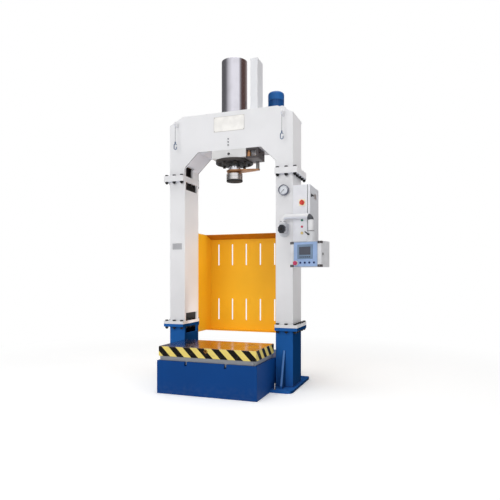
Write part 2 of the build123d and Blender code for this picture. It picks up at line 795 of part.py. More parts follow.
with BuildPart(gauge_plane) as gauge_glass:
    with Locations((0, 0, gauge_depth - 2.0 - gauge_glass_thickness / 2)):
        Cylinder(gauge_radius - gauge_rim, gauge_glass_thickness)

gauge_glass.part.label = "gauge_glass"
export_step(gauge_glass.part, "parts/gauge_glass.step")

dial_level = gauge_depth - gauge_recess
needle_rest = 225.0

with BuildPart(gauge_plane) as gauge_needle:
    with Locations((0, 0, dial_level + moving_gap + needle_lift / 2)):
        Cylinder(needle_hub, needle_lift)
    with BuildSketch(gauge_plane.offset(dial_level + moving_gap + needle_lift)):
        Circle(needle_hub)
        with Locations(Location((0, 0), needle_rest)):
            with Locations((needle_length / 2 - needle_hub, 0)):
                Rectangle(needle_length + 2 * needle_hub, needle_width)
    extrude(amount=needle_thickness)

gauge_needle.part.label = "gauge_needle"
export_step(gauge_needle.part, "parts/gauge_needle.step")

# Electrical cabinet on the right column's outer side
cabinet_depth = 146.0
cabinet_length = 392.5
cabinet_wall = 3.0
cabinet_edge = 3.0
door_gap = 1.0
door_thickness = 22.0
door_sheet = 2.5
control_offset = 90.0
switch_rise = 376.0
green_rise = 204.0
red_rise = 142.0
lamp_rise = 81.0
button_radius = 11.0
button_ring = 15.0
button_ring_height = 4.0
button_proud = 9.0
button_stem = 16.0
button_travel = 4.0
cabinet_back = front_y + cabinet_length
cabinet_x = outer_x + cabinet_depth
door_x = cabinet_x + door_gap
door_face = door_x + door_thickness
cabinet_top = cabinet_bottom + cabinet_height
hinge_x = door_x + door_thickness / 2
hinge_y = cabinet_back + 10.0
hinge_pin = 4.0
hinge_lug_height = 12.0
hinge_barrel = 28.0
hinge_room = 1.2
hinge_rise = 70.0
lock_y = front_y + 55.0
lock_drop = 100.0
lock_radius = 12.0
hinge_drop = 110.0
hinge_heights = (cabinet_bottom + hinge_rise, cabinet_top - hinge_drop)
control_x = outer_x + control_offset
switch_z = cabinet_bottom + switch_rise
green_z = cabinet_bottom + green_rise
red_z = cabinet_bottom + red_rise
lamp_z = cabinet_bottom + lamp_rise
lock_z = cabinet_top - lock_drop
cabinet_y = (front_y, cabinet_back)
cabinet_z = (cabinet_bottom, cabinet_top)


def front_hole(x, y, z, radius, depth, mode=Mode.ADD):
    """A cylinder along Y that starts at a front face and runs back, or ahead if depth is negative."""
    with Locations(Location((x, y + depth / 2, z), (90, 0, 0))):
        Cylinder(radius, abs(depth), mode=mode)


with BuildPart() as cabinet_body:
    block((outer_x, cabinet_x), cabinet_y, cabinet_z)
    fillet(cabinet_body.edges().filter_by(Axis.X), cabinet_edge)
    block((outer_x + cabinet_wall, cabinet_x), (front_y + cabinet_wall, cabinet_back - cabinet_wall),
          (cabinet_bottom + cabinet_wall, cabinet_top - cabinet_wall), Mode.SUBTRACT)
    for z in (green_z, red_z):
        front_hole(control_x, front_y, z, button_ring, -button_ring_height)
        front_hole(control_x, front_y - button_ring_height, z, button_radius + moving_gap,
                   button_ring_height + cabinet_wall, Mode.SUBTRACT)
    front_hole(control_x, front_y, switch_z, button_radius + running_gap, cabinet_wall, Mode.SUBTRACT)
    front_hole(control_x, front_y, lamp_z, button_radius, cabinet_wall, Mode.SUBTRACT)
    for z in hinge_heights:
        lug_z = (z, z + hinge_lug_height)
        block((cabinet_x - 30.0, cabinet_x - 1.0), (cabinet_back, hinge_y + 6.0), lug_z)
        block((cabinet_x - 1.0, hinge_x + 2.0), (cabinet_back + hinge_room, hinge_y + 6.0), lug_z)
        upright(hinge_pin, (hinge_x, hinge_y), z, z + hinge_lug_height + hinge_barrel)

cabinet_body.part.label = "cabinet_body"
export_step(cabinet_body.part, "parts/cabinet_body.step")

with BuildPart() as cabinet_door:
    block((door_x, door_face), cabinet_y, cabinet_z)
    fillet(cabinet_door.faces().sort_by(Axis.X)[-1].edges(), cabinet_edge)
    block((door_x, door_face - door_sheet), (front_y + door_sheet, cabinet_back - door_sheet),
          (cabinet_bottom + door_sheet, cabinet_top - door_sheet), Mode.SUBTRACT)
    with Locations(Location((door_face - door_sheet / 2, lock_y, lock_z), (0, 90, 0))):
        Cylinder(lock_radius + running_gap, door_sheet, mode=Mode.SUBTRACT)
    for z in hinge_heights:
        knuckle = (z + hinge_lug_height + door_gap / 2, z + hinge_lug_height + hinge_barrel)
        block((hinge_x - hinge_pin, hinge_x + hinge_pin), (cabinet_back - door_sheet, hinge_y), knuckle)
        upright(2 * hinge_pin, (hinge_x, hinge_y), *knuckle)
        upright(hinge_pin + running_gap, (hinge_x, hinge_y), *knuckle, Mode.SUBTRACT)

cabinet_door.part.label = "cabinet_door"
export_step(cabinet_door.part, "parts/cabinet_door.step")

lock_handle_length = 46.0
lock_handle_width = 12.0
lock_handle_height = 12.0
lock_flange = 16.0
lock_flange_height = 5.0

with BuildPart() as door_lock:
    lock_inside = door_face - door_thickness + door_sheet
    flange_x = door_face + moving_gap
    with Locations(Location(((lock_inside + flange_x) / 2, lock_y, lock_z), (0, 90, 0))):
        Cylinder(lock_radius, flange_x - lock_inside)
    with Locations(Location((flange_x + lock_flange_height / 2, lock_y, lock_z), (0, 90, 0))):
        Cylinder(lock_flange, lock_flange_height)
    handle_x = flange_x + lock_flange_height
    block((handle_x, handle_x + lock_handle_height), (lock_y - lock_handle_width, lock_y + lock_handle_length),
          (lock_z - lock_handle_width / 2, lock_z + lock_handle_width / 2))

door_lock.part.label = "door_lock"
export_step(door_lock.part, "parts/door_lock.step")

rail_thickness = 8.0
plate_x = outer_x + 15.0
plate_sheet = 3.0
contactor = (70.0, 45.0, 85.0)
relay = (60.0, 22.0, 75.0)
terminal = (45.0, 8.0, 50.0)
contactor_places = [(y, cabinet_top - 150.0) for y in (-60.0, 0.0, 60.0, 130.0)]
relay_places = [(y, cabinet_top - 300.0) for y in (-70.0, -40.0, -10.0, 20.0, 90.0, 120.0)]
terminal_places = [(-90.0 + 12.0 * k, cabinet_bottom + 110.0) for k in range(20)]

with BuildPart() as switchgear:
    block((plate_x, plate_x + plate_sheet), (front_y + 25.0, cabinet_back - 25.0),
          (cabinet_bottom + 30.0, cabinet_top - 30.0))
    for y in (front_y + 40.0, cabinet_back - 40.0):
        for z in (cabinet_bottom + 45.0, cabinet_top - 45.0):
            with Locations(Location(((outer_x + cabinet_wall + plate_x) / 2, y, z), (0, 90, 0))):
                Cylinder(6.0, plate_x - outer_x - cabinet_wall)
    rail_x = plate_x + plate_sheet
    device_x = rail_x + rail_thickness
    for places, size in ((contactor_places, contactor), (relay_places, relay), (terminal_places, terminal)):
        height = places[0][1]
        block((rail_x, device_x), (front_y + 30.0, cabinet_back - 30.0), (height - 17.5, height + 17.5))
        for y, z in places:
            block((device_x, device_x + size[0]), (y - size[1] / 2, y + size[1] / 2),
                  (z - size[2] / 2, z + size[2] / 2))

switchgear.part.label = "switchgear"
export_step(switchgear.part, "parts/switchgear.step")

lamp_lens = 13.0
lamp_proud = 11.0

with BuildPart() as cabinet_lamp:
    front_hole(control_x, front_y, lamp_z, lamp_lens, -lamp_proud)
    fillet(cabinet_lamp.edges().group_by(Axis.Y)[0], 4.0)
    front_hole(control_x, front_y, lamp_z, button_radius, cabinet_wall + 20.0)

cabinet_lamp.part.label = "cabinet_lamp"
export_step(cabinet_lamp.part, "parts/cabinet_lamp.step")


def cabinet_button(z):
    """A push button that slides back through its ring on the cabinet."""
    with BuildPart() as button:
        front_hole(control_x, front_y - button_proud, z, button_radius, button_proud + button_stem)
        chamfer(button.edges().group_by(Axis.Y)[0], 1.0)
    return button


green_button = cabinet_button(green_z)
green_button.part.label = "green_button"
export_step(green_button.part, "parts/green_button.step")

red_button = cabinet_button(red_z)
red_button.part.label = "red_button"
export_step(red_button.part, "parts/red_button.step")

switch_radius = 24.0
switch_disc = 10.0
grip_height = 16.0
grip_width = 13.0

with BuildPart() as main_switch:
    disc_y = front_y - 3.0 - moving_gap
    front_hole(control_x, disc_y, switch_z, switch_radius, -switch_disc)
    chamfer(main_switch.edges().group_by(Axis.Y)[0], 2.0)
    block((control_x - grip_width / 2, control_x + grip_width / 2), (disc_y - switch_disc - grip_height, disc_y),
          (switch_z - switch_radius, switch_z + switch_radius))
    front_hole(control_x, disc_y, switch_z, button_radius, button_stem)

main_switch.part.label = "main_switch"
export_step(main_switch.part, "parts/main_switch.step")

# Arm bracket on the right column, with its clamp knob
arm_bracket_width = 97.0
arm_bracket_height = 127.0
arm_rise = 66.0
arm_bracket_plate = 12.0
arm_housing_radius = 38.0
arm_housing_height = 87.0
arm_web = 60.0
arm_pin_radius = 20.0
arm_pin_length = 72.0
knob_radius = 41.5
knob_thickness = 22.0
knob_turn = 25.0
knob_shift = 12.0
knob_forward = 49.0
knob_drop = 56.0
knob_boss_radius = 17.0
knob_boss_length = 46.0
knob_stem_radius = 6.0
knob_stem_length = 20.0
knob_lobes = 8
arm_y = front_y - arm_forward
arm_bracket_high = arm_height - arm_rise
arm_bracket_low = arm_bracket_high - arm_bracket_height
arm_housing_low = arm_bracket_high - arm_housing_height
knob_x = column_x + knob_shift
knob_z = arm_bracket_high - knob_drop
knob_normal = (-sin(radians(knob_turn)), -cos(radians(knob_turn)), 0)
knob_plane = Plane(origin=(knob_x, arm_y - knob_forward, knob_z), x_dir=(0, 0, 1), z_dir=knob_normal)

with BuildPart() as arm_bracket:
    plate_y = front_y - arm_bracket_plate
    with BuildSketch(Plane.XZ.offset(-front_y)):
        round_z = arm_bracket_low + arm_bracket_width / 2
        with Locations((column_x, (round_z + arm_bracket_high) / 2)):
            Rectangle(arm_bracket_width, arm_bracket_high - round_z)
        with Locations((column_x, round_z)):
            Circle(arm_bracket_width / 2)
    extrude(amount=arm_bracket_plate)
    block((column_x - arm_web / 2, column_x + arm_web / 2), (arm_y, plate_y),
          (arm_housing_low, arm_bracket_high))
    upright(arm_housing_radius, (column_x, arm_y), arm_housing_low, arm_bracket_high)
    with Locations(knob_plane):
        with Locations((0, 0, -knob_boss_length / 2)):
            Cylinder(knob_boss_radius, knob_boss_length)
        with Locations((0, 0, -knob_stem_length / 2)):
            Cylinder(knob_stem_radius + running_gap, knob_stem_length, mode=Mode.SUBTRACT)
    upright(arm_pin_radius + running_gap, (column_x, arm_y), arm_bracket_high - arm_pin_length - 2.0,
            arm_bracket_high, Mode.SUBTRACT)

arm_bracket.part.label = "arm_bracket"
export_step(arm_bracket.part, "parts/arm_bracket.step")

with BuildPart(knob_plane) as arm_knob:
    with Locations((0, 0, moving_gap + knob_thickness / 2)):
        Cylinder(knob_radius, knob_thickness)
        with PolarLocations(knob_radius * 1.16, knob_lobes):
            Cylinder(knob_radius * 0.25, knob_thickness, mode=Mode.SUBTRACT)
    with Locations((0, 0, moving_gap - knob_stem_length / 2 + 1.0)):
        Cylinder(knob_stem_radius, knob_stem_length)

arm_knob.part.label = "arm_knob"
export_step(arm_knob.part, "parts/arm_knob.step")

# Swing arm: a bent tube from the bracket to the console's coupling
tube_radius = 24.0
tube_sheet = 3.0
tube_bend = 40.0
collar_radius = 32.0
collar_height = 12.0
coupling_radius = 37.0
coupling_height = 100.0
coupling_floor = 20.0
coupling_flange_radius = 48.0
coupling_flange_height = 10.0
console_top = console_bottom + console_height
coupling_top = console_top + coupling_height
arm_x = column_x + arm_reach
collar_low = arm_bracket_high + moving_gap
tube_end = console_top + coupling_floor + 2.0

with BuildPart() as swing_arm:
    with BuildLine() as centre_line:
        FilletPolyline((column_x, arm_y, collar_low), (column_x, arm_y, arm_height), (arm_x, arm_y, arm_height),
                       (arm_x, arm_y, tube_end), radius=tube_bend)
    with BuildSketch(Plane.XY.offset(collar_low)):
        with Locations((column_x, arm_y)):
            Circle(tube_radius)
            Circle(tube_radius - tube_sheet, mode=Mode.SUBTRACT)
    sweep(path=centre_line.line)
    upright(collar_radius, (column_x, arm_y), collar_low, collar_low + collar_height)
    upright(arm_pin_radius, (column_x, arm_y), arm_bracket_high - arm_pin_length, collar_low)

swing_arm.part.label = "swing_arm"
export_step(swing_arm.part, "parts/swing_arm.step")

lever_z = console_top + 70.0
lever_turn = 20.0
lever_hole = 4.0
lever_hub = 9.0
lever_hub_length = 16.0
lever_stem = 7.0
lever_length = 46.0
lever_width = 10.0
lever_thickness = 7.0
lever_tilt = 143.0
lever_normal = (-sin(radians(lever_turn)), -cos(radians(lever_turn)), 0)
lever_origin = tuple(a + coupling_radius * n for a, n in zip((arm_x, arm_y, lever_z), lever_normal))
lever_plane = Plane(origin=lever_origin, x_dir=(cos(radians(lever_turn)), -sin(radians(lever_turn)), 0),
                    z_dir=lever_normal)

with BuildPart() as console_coupling:
    upright(coupling_radius, (arm_x, arm_y), console_top, coupling_top)
    upright(coupling_flange_radius, (arm_x, arm_y), console_top, console_top + coupling_flange_height)
    upright(tube_radius + running_gap, (arm_x, arm_y), console_top + coupling_floor, coupling_top, Mode.SUBTRACT)
    with Locations(lever_plane):
        with Locations((0, 0, -lever_stem / 2)):
            Cylinder(lever_hole + running_gap, lever_stem + 2.0, mode=Mode.SUBTRACT)

console_coupling.part.label = "console_coupling"
export_step(console_coupling.part, "parts/console_coupling.step")

with BuildPart(lever_plane) as clamp_lever:
    with Locations((0, 0, 1.0 + lever_hub_length / 2)):
        Cylinder(lever_hub, lever_hub_length)
    with Locations((0, 0, 1.0 - lever_stem / 2)):
        Cylinder(lever_hole, lever_stem)
    with BuildSketch(lever_plane.offset(1.0 + lever_hub_length - lever_thickness)):
        with Locations(Location((0, 0), lever_tilt)):
            with Locations((lever_length / 2, 0)):
                SlotOverall(lever_length, lever_width)
    extrude(amount=lever_thickness)

clamp_lever.part.label = "clamp_lever"
export_step(clamp_lever.part, "parts/clamp_lever.step")

# Console: housing, corner caps, front panel, display, buttons, emergency stop and lock
console_shift = 12.0
console_wall = 4.0
strip_width = 40.0
corner_width = 39.0
corner_height = 23.0
corner_depth = 28.0
corner_round = 6.0
panel_gap = 0.2
panel_thickness = 5.0
panel_proud = 2.0
key_radius = 10.0
key_ring = 13.0
key_ring_height = 3.0
key_proud = 7.0
key_length = 20.0
key_row = -79.0
key_places = (-52.0, -4.0, 44.0, 92.0)
stop_place = (-101.0, -82.0)
stop_stem = 11.0
stop_collar = 16.0
stop_collar_height = 6.0
stop_head = 20.0
stop_head_height = 13.0
stop_room = 6.0
display_width = 161.0
display_height = 136.0
display_thickness = 6.0
display_centre = (-3.5, 24.0)
screen_width = 120.0
screen_height = 76.0
screen_centre = (-3.0, 32.0)
screen_recess = 2.0
side_lock_back = 27.0
side_lock_radius = 9.0
side_lock_head = 11.0
side_lock_proud = 4.0
half_w = console_width / 2
half_d = console_depth / 2
half_h = console_height / 2
turn = radians(console_turn)
console_centre = (arm_x - console_shift, arm_y, console_bottom + half_h)
console_plane = Plane(origin=console_centre, x_dir=(cos(turn), -sin(turn), 0), z_dir=(0, 0, 1))
console_front = Axis(console_centre, (-sin(turn), -cos(turn), 0))
aperture = half_w - strip_width
panel_face = -half_d - panel_proud

with BuildPart(console_plane) as console_box:
    block((-half_w, half_w), (-half_d, half_d), (-half_h, half_h))
    block((console_wall - half_w, half_w - console_wall), (console_wall - half_d, half_d - console_wall),
          (console_wall - half_h, half_h - console_wall), Mode.SUBTRACT)
    block((-aperture, aperture), (-half_d, console_wall - half_d), (console_wall - half_h, half_h - console_wall),
          Mode.SUBTRACT)
    for side in (-1, 1):
        for end in (-1, 1):
            block((side * (half_w - corner_width), side * half_w), (-half_d, corner_depth - half_d),
                  (end * (half_h - corner_height), end * half_h), Mode.SUBTRACT)
    with Locations(Location((half_w - console_wall / 2, side_lock_back - half_d, 0), (0, 90, 0))):
        Cylinder(side_lock_radius + running_gap, console_wall, mode=Mode.SUBTRACT)

console_box.part.label = "console_box"
export_step(console_box.part, "parts/console_box.step")

with BuildPart(console_plane) as console_corners:
    for side in (-1, 1):
        for end in (-1, 1):
            block((side * (half_w - corner_width), side * half_w), (-half_d, corner_depth - half_d),
                  (end * (half_h - corner_height), end * half_h))

console_corners.part.label = "console_corners"
export_step(console_corners.part, "parts/console_corners.step")

with BuildPart(console_plane) as console_panel:
    panel_x = aperture - panel_gap
    panel_z = half_h - console_wall - panel_gap
    block((-panel_x, panel_x), (panel_face, panel_face + panel_thickness), (-panel_z, panel_z))
    for x in key_places:
        front_hole(x, panel_face, key_row, key_ring, -key_ring_height)
        front_hole(x, panel_face - key_ring_height, key_row, key_radius + moving_gap,
                   key_ring_height + panel_thickness, Mode.SUBTRACT)
    front_hole(stop_place[0], panel_face, stop_place[1], stop_collar, -stop_collar_height)
    front_hole(stop_place[0], panel_face - stop_collar_height, stop_place[1], stop_stem + moving_gap,
               stop_collar_height + panel_thickness, Mode.SUBTRACT)

console_panel.part.label = "console_panel"
export_step(console_panel.part, "parts/console_panel.step")

with BuildPart(console_plane) as display:
    display_x = [display_centre[0] + way * display_width / 2 for way in (-1, 1)]
    display_z = [display_centre[1] + way * display_height / 2 for way in (-1, 1)]
    screen_x = [screen_centre[0] + way * screen_width / 2 for way in (-1, 1)]
    screen_z = [screen_centre[1] + way * screen_height / 2 for way in (-1, 1)]
    display_face = panel_face - display_thickness
    block(display_x, (display_face, panel_face), display_z)
    chamfer(display.faces().sort_by(console_front)[-1].edges(), 2.0)
    block(screen_x, (display_face, display_face + screen_recess), screen_z, Mode.SUBTRACT)

display.part.label = "display"
export_step(display.part, "parts/display.step")

for number, x in enumerate(key_places, start=1):
    with BuildPart(console_plane) as console_button:
        front_hole(x, panel_face - key_proud, key_row, key_radius, key_length)
    console_button.part.label = f"console_button_{number}"
    export_step(console_button.part, f"parts/console_button_{number}.step")

with BuildPart(console_plane) as emergency_stop:
    stop_back = panel_face - stop_collar_height - stop_room
    front_hole(stop_place[0], stop_back, stop_place[1], stop_head, -stop_head_height)
    front_hole(stop_place[0], stop_back, stop_place[1], stop_stem, stop_room + stop_collar_height + 14.0)

emergency_stop.part.label = "emergency_stop"
export_step(emergency_stop.part, "parts/emergency_stop.step")

with BuildPart(console_plane) as console_lock:
    lock_place = side_lock_back - half_d
    with Locations(Location((half_w - console_wall / 2 - 2.0, lock_place, 0), (0, 90, 0))):
        Cylinder(side_lock_radius, console_wall + 4.0 + 2 * moving_gap)
    with Locations(Location((half_w + moving_gap + side_lock_proud / 2, lock_place, 0), (0, 90, 0))):
        Cylinder(side_lock_head, side_lock_proud)

console_lock.part.label = "console_lock"
export_step(console_lock.part, "parts/console_lock.step")

# Power unit behind the crosshead: tank, lid, pump, motor, valves and pipes
tank_wall = 4.0
tank_rim = 8.0
lid_thickness = 8.0
motor_offset = 235.0
motor_setback = 134.5
motor_radius = 74.0
motor_fin_depth = 12.0
motor_fin_thickness = 3.0
motor_fins = 28
motor_flange_radius = 100.0
motor_flange_height = 14.0
motor_height = 222.0
motor_bore = 46.0
motor_end = 14.0
shaft_radius = 12.0
cowl_radius = 87.0
cowl_sheet = 2.0
cowl_height = 78.0
cowl_round = 30.0
terminal_width = 90.0
terminal_reach = 104.0
terminal_rise = 70.0
terminal_height = 100.0
pump_size = 90.0
pump_height = 110.0
pump_top_gap = 40.0
suction_radius = 16.0
filler_radius = 32.0
filler_height = 45.0
filler_inset = 60.0
tank_bottom = shelf_height + shelf_plate
tank_top = tank_bottom + tank_height
lid_top = tank_top + lid_thickness
motor_x = shelf_left + motor_offset
motor_y = back_y + motor_setback
motor_top = lid_top + motor_height
cowl_top = motor_top + cowl_height
terminal_low = lid_top + terminal_rise
terminal_high = terminal_low + terminal_height
filler_point = (shelf_left + tank_length - filler_inset, motor_y - 40.0)
tank_x = (shelf_left, shelf_left + tank_length)
tank_y = (back_y + tank_gap, back_y + tank_gap + tank_width)
motor_point = (motor_x, motor_y)

shelf_span = (shelf_left, shelf_left + tank_length)
shelf_end = back_y + tank_gap + tank_width

with BuildPart() as oil_tank:
    block(tank_x, tank_y, (tank_bottom, tank_top))
    fillet(oil_tank.edges().filter_by(Axis.Z), 10.0)
    block((tank_x[0] + tank_wall, tank_x[1] - tank_wall), (tank_y[0] + tank_wall, tank_y[1] - tank_wall),
          (tank_bottom + tank_wall, tank_top), Mode.SUBTRACT)
    block(shelf_span, (back_y, shelf_end), (shelf_height, shelf_height + shelf_plate))
    for x in (shelf_span[0], sum(shelf_span) / 2, shelf_span[1] - shelf_plate):
        with BuildSketch(Plane.YZ.offset(x)) as shelf_rib:
            with BuildLine():
                Polyline((back_y, shelf_height), (shelf_end, shelf_height), (back_y, shelf_height - shelf_drop),
                         close=True)
            make_face()
        extrude(shelf_rib.sketch, amount=shelf_plate)

oil_tank.part.label = "oil_tank"
export_step(oil_tank.part, "parts/oil_tank.step")

with BuildPart() as tank_lid:
    block((tank_x[0] - tank_rim, tank_x[1] + tank_rim), (back_y, tank_y[1] + tank_rim), (tank_top, lid_top))
    upright(filler_radius * 0.6, filler_point, lid_top, lid_top + filler_height)
    upright(filler_radius, filler_point, lid_top + filler_height * 0.4, lid_top + filler_height)
    upright(shaft_radius * 3, motor_point, tank_top, lid_top, Mode.SUBTRACT)

tank_lid.part.label = "tank_lid"
export_step(tank_lid.part, "parts/tank_lid.step")

flange_top = lid_top + motor_flange_height

with BuildPart() as motor_body:
    upright(motor_flange_radius, motor_point, lid_top, flange_top)
    upright(motor_radius, motor_point, flange_top, motor_top)
    fin_height = motor_top - flange_top - 2 * motor_end
    with Locations((motor_x, motor_y, (flange_top + motor_top) / 2)):
        with PolarLocations(motor_radius + motor_fin_depth / 2 - 1.0, motor_fins):
            Box(motor_fin_depth + 2.0, motor_fin_thickness, fin_height)
    block((motor_x - terminal_width / 2, motor_x + terminal_width / 2), (motor_y, motor_y + terminal_reach),
          (terminal_low, terminal_high))
    upright(motor_bore, motor_point, flange_top + motor_end, motor_top - motor_end, Mode.SUBTRACT)
    upright(shaft_radius + running_gap, motor_point, lid_top, motor_top, Mode.SUBTRACT)

motor_body.part.label = "motor_body"
export_step(motor_body.part, "parts/motor_body.step")

rotor_gap = 1.0
fan_radius = 74.0
fan_hub = 24.0
fan_low = motor_top + 14.0
fan_height = 28.0
fan_blades = 7
blade_thickness = 3.0
pump_top = tank_top - pump_top_gap
shaft_bottom = pump_top - pump_height / 2

with BuildPart() as motor_rotor:
    upright(shaft_radius, motor_point, shaft_bottom, fan_low + fan_height)
    upright(motor_bore - rotor_gap, motor_point, flange_top + 2 * motor_end, motor_top - 2 * motor_end)
    upright(fan_hub, motor_point, fan_low, fan_low + fan_height)
    with Locations((motor_x, motor_y, fan_low + fan_height / 2)):
        with PolarLocations((fan_radius + fan_hub) / 2 - 1.0, fan_blades):
            Box(fan_radius - fan_hub + 2.0, blade_thickness, fan_height)

motor_rotor.part.label = "motor_rotor"
export_step(motor_rotor.part, "parts/motor_rotor.step")

with BuildPart() as fan_cowl:
    upright(cowl_radius, motor_point, motor_top - motor_end, cowl_top)
    fillet(fan_cowl.edges().group_by(Axis.Z)[-1], cowl_round)
    upright(cowl_radius - cowl_sheet, motor_point, motor_top - motor_end, cowl_top - cowl_round, Mode.SUBTRACT)
    upright(cowl_radius - cowl_round, motor_point, cowl_top - cowl_round, cowl_top - cowl_sheet, Mode.SUBTRACT)
    with Locations((motor_x, motor_y, cowl_top - cowl_sheet / 2)):
        for ring_radius, holes in ((20.0, 8), (38.0, 14), (56.0, 20)):
            with PolarLocations(ring_radius, holes):
                Cylinder(5.0, cowl_sheet, mode=Mode.SUBTRACT)
    upright(motor_radius, motor_point, motor_top - motor_end, motor_top - motor_end / 2, Mode.SUBTRACT)

fan_cowl.part.label = "fan_cowl"
export_step(fan_cowl.part, "parts/fan_cowl.step")

with BuildPart() as pump:
    block((motor_x - pump_size / 2, motor_x + pump_size / 2), (motor_y - pump_size / 2, motor_y + pump_size / 2),
          (pump_top - pump_height, pump_top))
    for way in (-1, 1):
        upright(8.0, (motor_x + way * pump_size * 0.35, motor_y + pump_size * 0.35), pump_top, tank_top)
        upright(8.0, (motor_x + way * pump_size * 0.35, motor_y - pump_size * 0.35), pump_top, tank_top)
    upright(suction_radius, motor_point, tank_bottom + 40.0, pump_top - pump_height)
    upright(shaft_radius + running_gap, motor_point, shaft_bottom, pump_top, Mode.SUBTRACT)

pump.part.label = "pump"
export_step(pump.part, "parts/pump.step")

valve_left = 20.0
valve_width = 100.0
valve_setback = 29.5
valve_depth = 90.0
valve_height = 84.0
solenoid_radius = 22.0
solenoid_reach = 60.0
pipe_inset = 20.0
pipe_radius = 10.0
pipe_wall = 2.0
pipe_bend = 34.0
upper_pipe_rise = 60.0
lower_pipe_rise = 25.0
lower_pipe_x = -60.0
lower_port_z = (mount_bottom + soffit_height) / 2
upper_pipe_z = lid_top + upper_pipe_rise
lower_pipe_z = lid_top + lower_pipe_rise
valve_top = lid_top + valve_height
valve_x = (shelf_left + valve_left, shelf_left + valve_left + valve_width)
valve_y = (back_y + valve_setback, back_y + valve_setback + valve_depth)
pipe_y = valve_y[0] + pipe_inset

with BuildPart() as valve_block:
    block(valve_x, valve_y, (lid_top, valve_top))
    valve_middle = sum(valve_x) / 2
    body_y = (valve_y[0] + 15.0, valve_y[1] - 15.0)
    block((valve_middle - 30.0, valve_middle + 30.0), body_y, (valve_top, valve_top + 30.0))
    with Locations(Location((valve_middle, valve_y[1] + solenoid_reach / 2, lid_top + 42.0), (90, 0, 0))):
        Cylinder(solenoid_radius, solenoid_reach)

valve_block.part.label = "valve_block"
export_step(valve_block.part, "parts/valve_block.step")


def pipe(points):
    """A bent steel pipe through the given corners."""
    with BuildLine() as route:
        FilletPolyline(*points, radius=pipe_bend)
    start = Plane(origin=route.line @ 0, z_dir=route.line % 0)
    with BuildSketch(start) as section:
        Circle(pipe_radius)
        Circle(pipe_radius - pipe_wall, mode=Mode.SUBTRACT)
    sweep(section.sketch, path=route.line)


with BuildPart() as oil_pipes:
    pipe([(valve_x[0], pipe_y, upper_pipe_z), (0, pipe_y, upper_pipe_z), (0, pipe_y, port_height),
          (0, barrel_radius + port_reach, port_height)])
    pipe([(valve_x[0], pipe_y, lower_pipe_z), (lower_pipe_x, pipe_y, lower_pipe_z),
          (lower_pipe_x, pipe_y, lower_port_z), (lower_pipe_x, mount_depth / 2, lower_port_z)])

oil_pipes.part.label = "oil_pipes"
export_step(oil_pipes.part, "parts/oil_pipes.step")

# Hanging ropes with hooks in front of the crosshead
rope_radius = 2.5
ferrule_radius = 7.0
rope_drop = 158.0
ferrule_height = 20.0
hook_height = 64.0
hook_width = 34.0
hook_bar = 7.0
hook_thickness = 10.0
mouth_height = 16.0
rope_top = rope_lug_low
ferrule_high = rope_top - rope_drop
ferrule_low = ferrule_high - ferrule_height
hook_middle = ferrule_low - hook_height / 2

for name, side in (("rope_left", -1), ("rope_right", 1)):
    rope_points = [
        (side * rope_x, rope_y, rope_top),
        (side * rope_x, rope_y, rope_top - 25.0),
        (side * rope_x + 0.6, rope_y - 0.5, rope_top - 75.0),
        (side * rope_x, rope_y, ferrule_high + 25.0),
        (side * rope_x, rope_y, ferrule_high),
    ]
    turns = [(Vector(*b) - Vector(*a)).get_angle(Vector(*c) - Vector(*b))
             for a, b, c in zip(rope_points, rope_points[1:], rope_points[2:])]
    bends = [0.4 * 25.0 / (radians(angle) / 2) for angle in turns]
    print(name, "bend radii", [round(bend) for bend in bends])
    with BuildPart() as rope:
        with BuildLine() as rope_line:
            FilletPolyline(*rope_points, radius=bends)
        with BuildSketch(Plane(origin=rope_line.line @ 0, z_dir=rope_line.line % 0)) as rope_section:
            Circle(rope_radius)
        sweep(path=rope_line.line)
    rope.part.label = name
    export_step(rope.part, f"parts/{name}.step")

with BuildPart() as rope_hooks:
    for side in (-1, 1):
        upright(ferrule_radius, (side * rope_x, rope_y), ferrule_low, ferrule_high)
    with BuildSketch(Plane.XZ.offset(-rope_y)) as hooks:
        for side in (-1, 1):
            with Locations((side * rope_x, hook_middle)):
                SlotOverall(hook_height, hook_width, rotation=90)
                SlotOverall(hook_height - 2 * hook_bar, hook_width - 2 * hook_bar, rotation=90, mode=Mode.SUBTRACT)
            with Locations((side * rope_x + hook_width / 2, hook_middle + mouth_height / 2)):
                Rectangle(2 * hook_bar, mouth_height, mode=Mode.SUBTRACT)
    extrude(hooks.sketch, amount=hook_thickness / 2, both=True)

rope_hooks.part.label = "rope_hooks"
export_step(rope_hooks.part, "parts/rope_hooks.step")
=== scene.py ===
from math import cos, pi, radians, sin

import bpy
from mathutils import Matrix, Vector


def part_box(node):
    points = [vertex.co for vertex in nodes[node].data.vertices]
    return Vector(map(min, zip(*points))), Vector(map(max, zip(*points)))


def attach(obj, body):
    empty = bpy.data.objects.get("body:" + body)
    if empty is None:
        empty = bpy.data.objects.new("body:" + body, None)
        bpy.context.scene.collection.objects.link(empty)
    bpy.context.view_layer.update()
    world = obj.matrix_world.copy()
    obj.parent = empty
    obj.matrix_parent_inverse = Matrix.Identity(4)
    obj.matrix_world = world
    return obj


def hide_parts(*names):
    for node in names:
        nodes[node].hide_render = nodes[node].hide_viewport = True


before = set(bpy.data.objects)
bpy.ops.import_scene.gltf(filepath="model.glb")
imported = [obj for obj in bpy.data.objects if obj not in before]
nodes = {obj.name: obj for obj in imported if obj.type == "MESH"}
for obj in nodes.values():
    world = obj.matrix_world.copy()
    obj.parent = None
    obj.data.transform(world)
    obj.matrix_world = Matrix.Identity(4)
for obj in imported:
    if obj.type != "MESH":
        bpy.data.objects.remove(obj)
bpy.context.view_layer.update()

# Places taken from the press, in metres: X to the operator's right, Y away from them, Z up
column_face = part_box("right_column")[0].y + 0.039
column_middle = 0.588
column_inner = 0.5
column_outer = 0.676
post_inner, post_outer = 0.519, 0.657
post_depth = 0.1465
post_top = 2.77
flange_thickness = 0.03
lower_joint = 0.601
